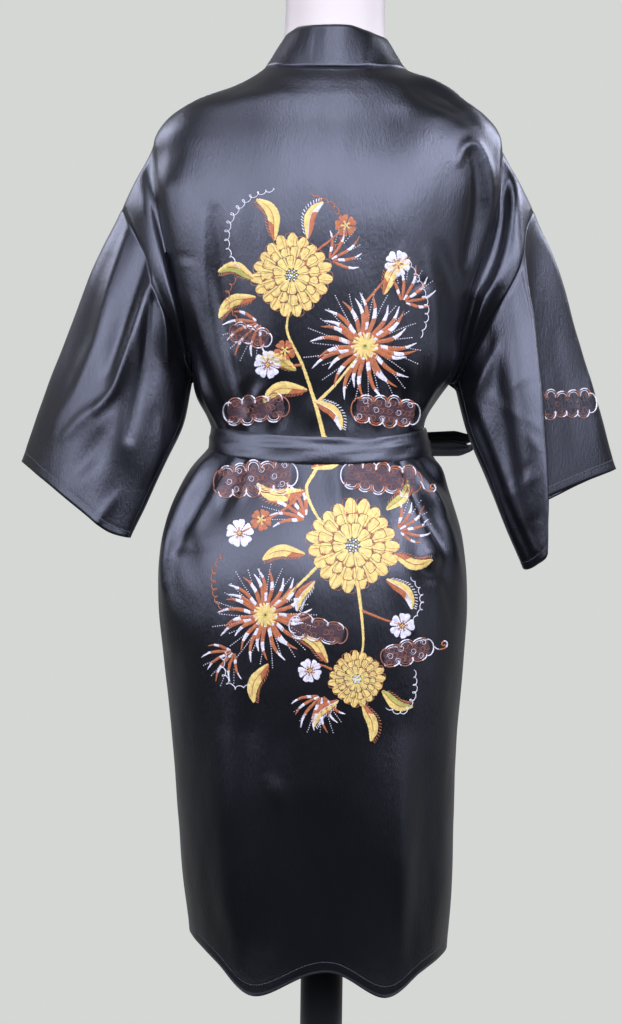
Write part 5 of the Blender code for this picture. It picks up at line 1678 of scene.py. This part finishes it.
def turned(name, profile, finish):
    """A round piece from its (radius, height) profile, from the bottom up."""
    turns = circle(TURNED_SIDES)
    rings = [np.stack([r * np.cos(turns), r * np.sin(turns), np.full(TURNED_SIDES, float(z))], -1)
             for r, z in profile]
    return stack(rings, finish, name)


def pole_and_foot(finish):
    """The pole, and the round foot with its softened upper edge."""
    ends = (FOOT_HEIGHT + POLE_GAP, FORM[0].height - FORM_CLEAR - POLE_GAP)
    pole = turned("pole", [(POLE_RADIUS, z) for z in ends], finish)
    edge = [(FOOT_RADIUS - 1, 0), (FOOT_RADIUS, 1), (FOOT_RADIUS, FOOT_HEIGHT - FOOT_BEVEL)]
    edge += [(FOOT_RADIUS - FOOT_BEVEL * (1 - math.cos(a)), FOOT_HEIGHT - FOOT_BEVEL * (1 - math.sin(a)))
             for a in np.linspace(0, math.pi / 2, BEVEL_STEPS)[1:]]
    return pole, turned("foot", edge, finish)


def soft_lamp(name, row):
    """A wide cool lamp, aimed at the middle of the robe."""
    turn, rise = math.radians(row.turn), math.radians(row.rise)
    way = Vector((math.sin(turn) * math.cos(rise), math.cos(turn) * math.cos(rise), math.sin(rise)))
    lamp = bpy.data.lights.new(name, "AREA")
    lamp.shape = "RECTANGLE"
    lamp.size, lamp.size_y = LAMP_SIZE
    lamp.energy = row.watts
    lamp.color = COOL
    lamp.spread = math.radians(LAMP_SPREAD)
    made = placed(name, lamp)
    aim = Vector((0, 0, LAMP_AIM))
    made.location = aim + way * LAMP_FAR
    made.rotation_euler = (aim - made.location).to_track_quat("-Z", "Y").to_euler()


def studio():
    """A round pale floor, soft lamps all round, and the camera that the photo was taken from."""
    scene = bpy.context.scene
    finish, _, _ = plain("floor_pale", FLOOR_PALE, rough=0.9, specular=0.1)
    turns = circle(FLOOR_SIDES)
    rim = FLOOR_RADIUS * np.stack([np.cos(turns), np.sin(turns), 0 * turns], -1)
    floor = shape("floor", rim, [list(range(FLOOR_SIDES))], finish, smooth=False)
    scene.world = surroundings()
    for number, row in enumerate(LAMPS):
        soft_lamp(f"lamp_{number}", row)
    camera = bpy.data.cameras.new("camera")
    camera.lens = LENS
    camera.sensor_width = SENSOR
    made = placed("camera", camera)
    made.location = CAMERA_AT
    made.rotation_mode = "QUATERNION"
    made.rotation_quaternion = (Quaternion((0, 0, 1), math.pi)
                                @ Quaternion((1, 0, 0), math.radians(90 - CAMERA_DOWN))
                                @ Quaternion((0, 0, 1), math.radians(CAMERA_ROLL)))
    scene.camera = made
    scene.view_settings.view_transform = "Standard"


def surroundings():
    """A pale background; what lights the cloth is a pale wall before the robe and a dim room behind it."""
    world = bpy.data.worlds.new("pale_room")
    world.use_nodes = True
    tree = world.node_tree
    seen = settle(tree.nodes["Background"], Color=(*WALL_PALE, 1))
    around = node(tree, "Background")
    place = node(tree, "TexCoord")
    parts = node(tree, "SeparateXYZ")
    ramp = node(tree, "MapRange", From_Min=0.35, From_Max=-0.6, To_Min=ROOM_LIGHT, To_Max=WALL_LIGHT)
    ramp.interpolation_type = "SMOOTHSTEP"
    path = node(tree, "LightPath")
    mix = node(tree, "MixShader")
    wire(tree, (place, "Generated", parts, "Vector"), (parts, "Y", ramp, "Value"),
         (ramp, "Result", around, "Strength"), (path, "Is Camera Ray", mix, "Fac"),
         (around, "Background", mix, 1), (seen, "Background", mix, 2),
         (mix, "Shader", tree.nodes["World Output"], "Surface"))
    return world


def own(obj, slot_name, *nodes):
    """The object rides on the part and stands for these solids, which are hidden; its slot name is not used.
    """
    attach(obj, ROOT)
    if nodes:
        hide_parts(*nodes)
    return obj


def build_robe(cloth, thread_with_painted_sheen):
    """The robe: its creased net, its embroidery and stitches, and a shell for each piece."""
    net, grids = make_net()
    drape(net, grids)
    half = np.full(len(net.points), CLOTH / 2)
    band = grids["band"]
    half[band[:, 1:]] = BAND_HALF
    half[band[:, -2]] = BAND_ROLL[0]
    half[band[:, -1]] = BAND_ROLL[1]
    outer = net.points + net.normals * half[:, None]
    tree = BVHTree.FromPolygons(outer.tolist(), net.quads().tolist())
    finishes = {name: thread(name, colour) for name, colour in THREADS.items()}
    sewn = {}
    for stitched in embroider(tree, finishes):
        sewn.setdefault("sleeve_right" if "sleeve" in stitched.name else "robe_back", []).append(stitched)
    for piece, lines in stitch_lines(net, grids).items():
        sewn.setdefault(piece, []).append(running_stitches(piece, lines, thread_with_painted_sheen))
    for piece in net.grids:
        sheet = own(shell(net, piece, half, cloth), piece + "_satin", piece)
        [own(part, piece + "_satin") for part in sewn[piece]]


def build_sash(cloth, thread_with_painted_sheen):
    """The sash round the waist, and its knot, loops and hanging ends."""
    sash, lines = sash_ring(cloth)
    own(sash, "belt_band_satin", "belt_band")
    own(running_stitches("belt_band", lines, thread_with_painted_sheen), "belt_band_satin")
    own(knot(cloth), "belt_knot_satin", "belt_knot")
    for table, maker in ((LOOPS, bow_loop), (TAILS, tail)):
        for name, row in table.items():
            own(maker(name, row, cloth), name + "_satin", name)


def build():
    """Dresses the part, piece by piece, and sets it in the studio."""
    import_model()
    # the stitches' black thread gets a grey colour: its sheen is painted into it
    cloth, thread_with_painted_sheen = satin(), thread("black", STITCH_BLACK_PAINTED_SHEEN)
    white, _, _ = plain("form_white", FORM_WHITE, rough=0.5)
    own(dress_form(white), "form_white", "form_torso")
    build_robe(cloth, thread_with_painted_sheen)
    build_sash(cloth, thread_with_painted_sheen)
    black, _, _ = plain("black_metal", BLACK_METAL, rough=0.32, metallic=0.6)
    pole, foot = pole_and_foot(black)
    own(pole, "pole_black", "form_pole")
    own(foot, "foot_black", "form_foot")
    studio()


build()
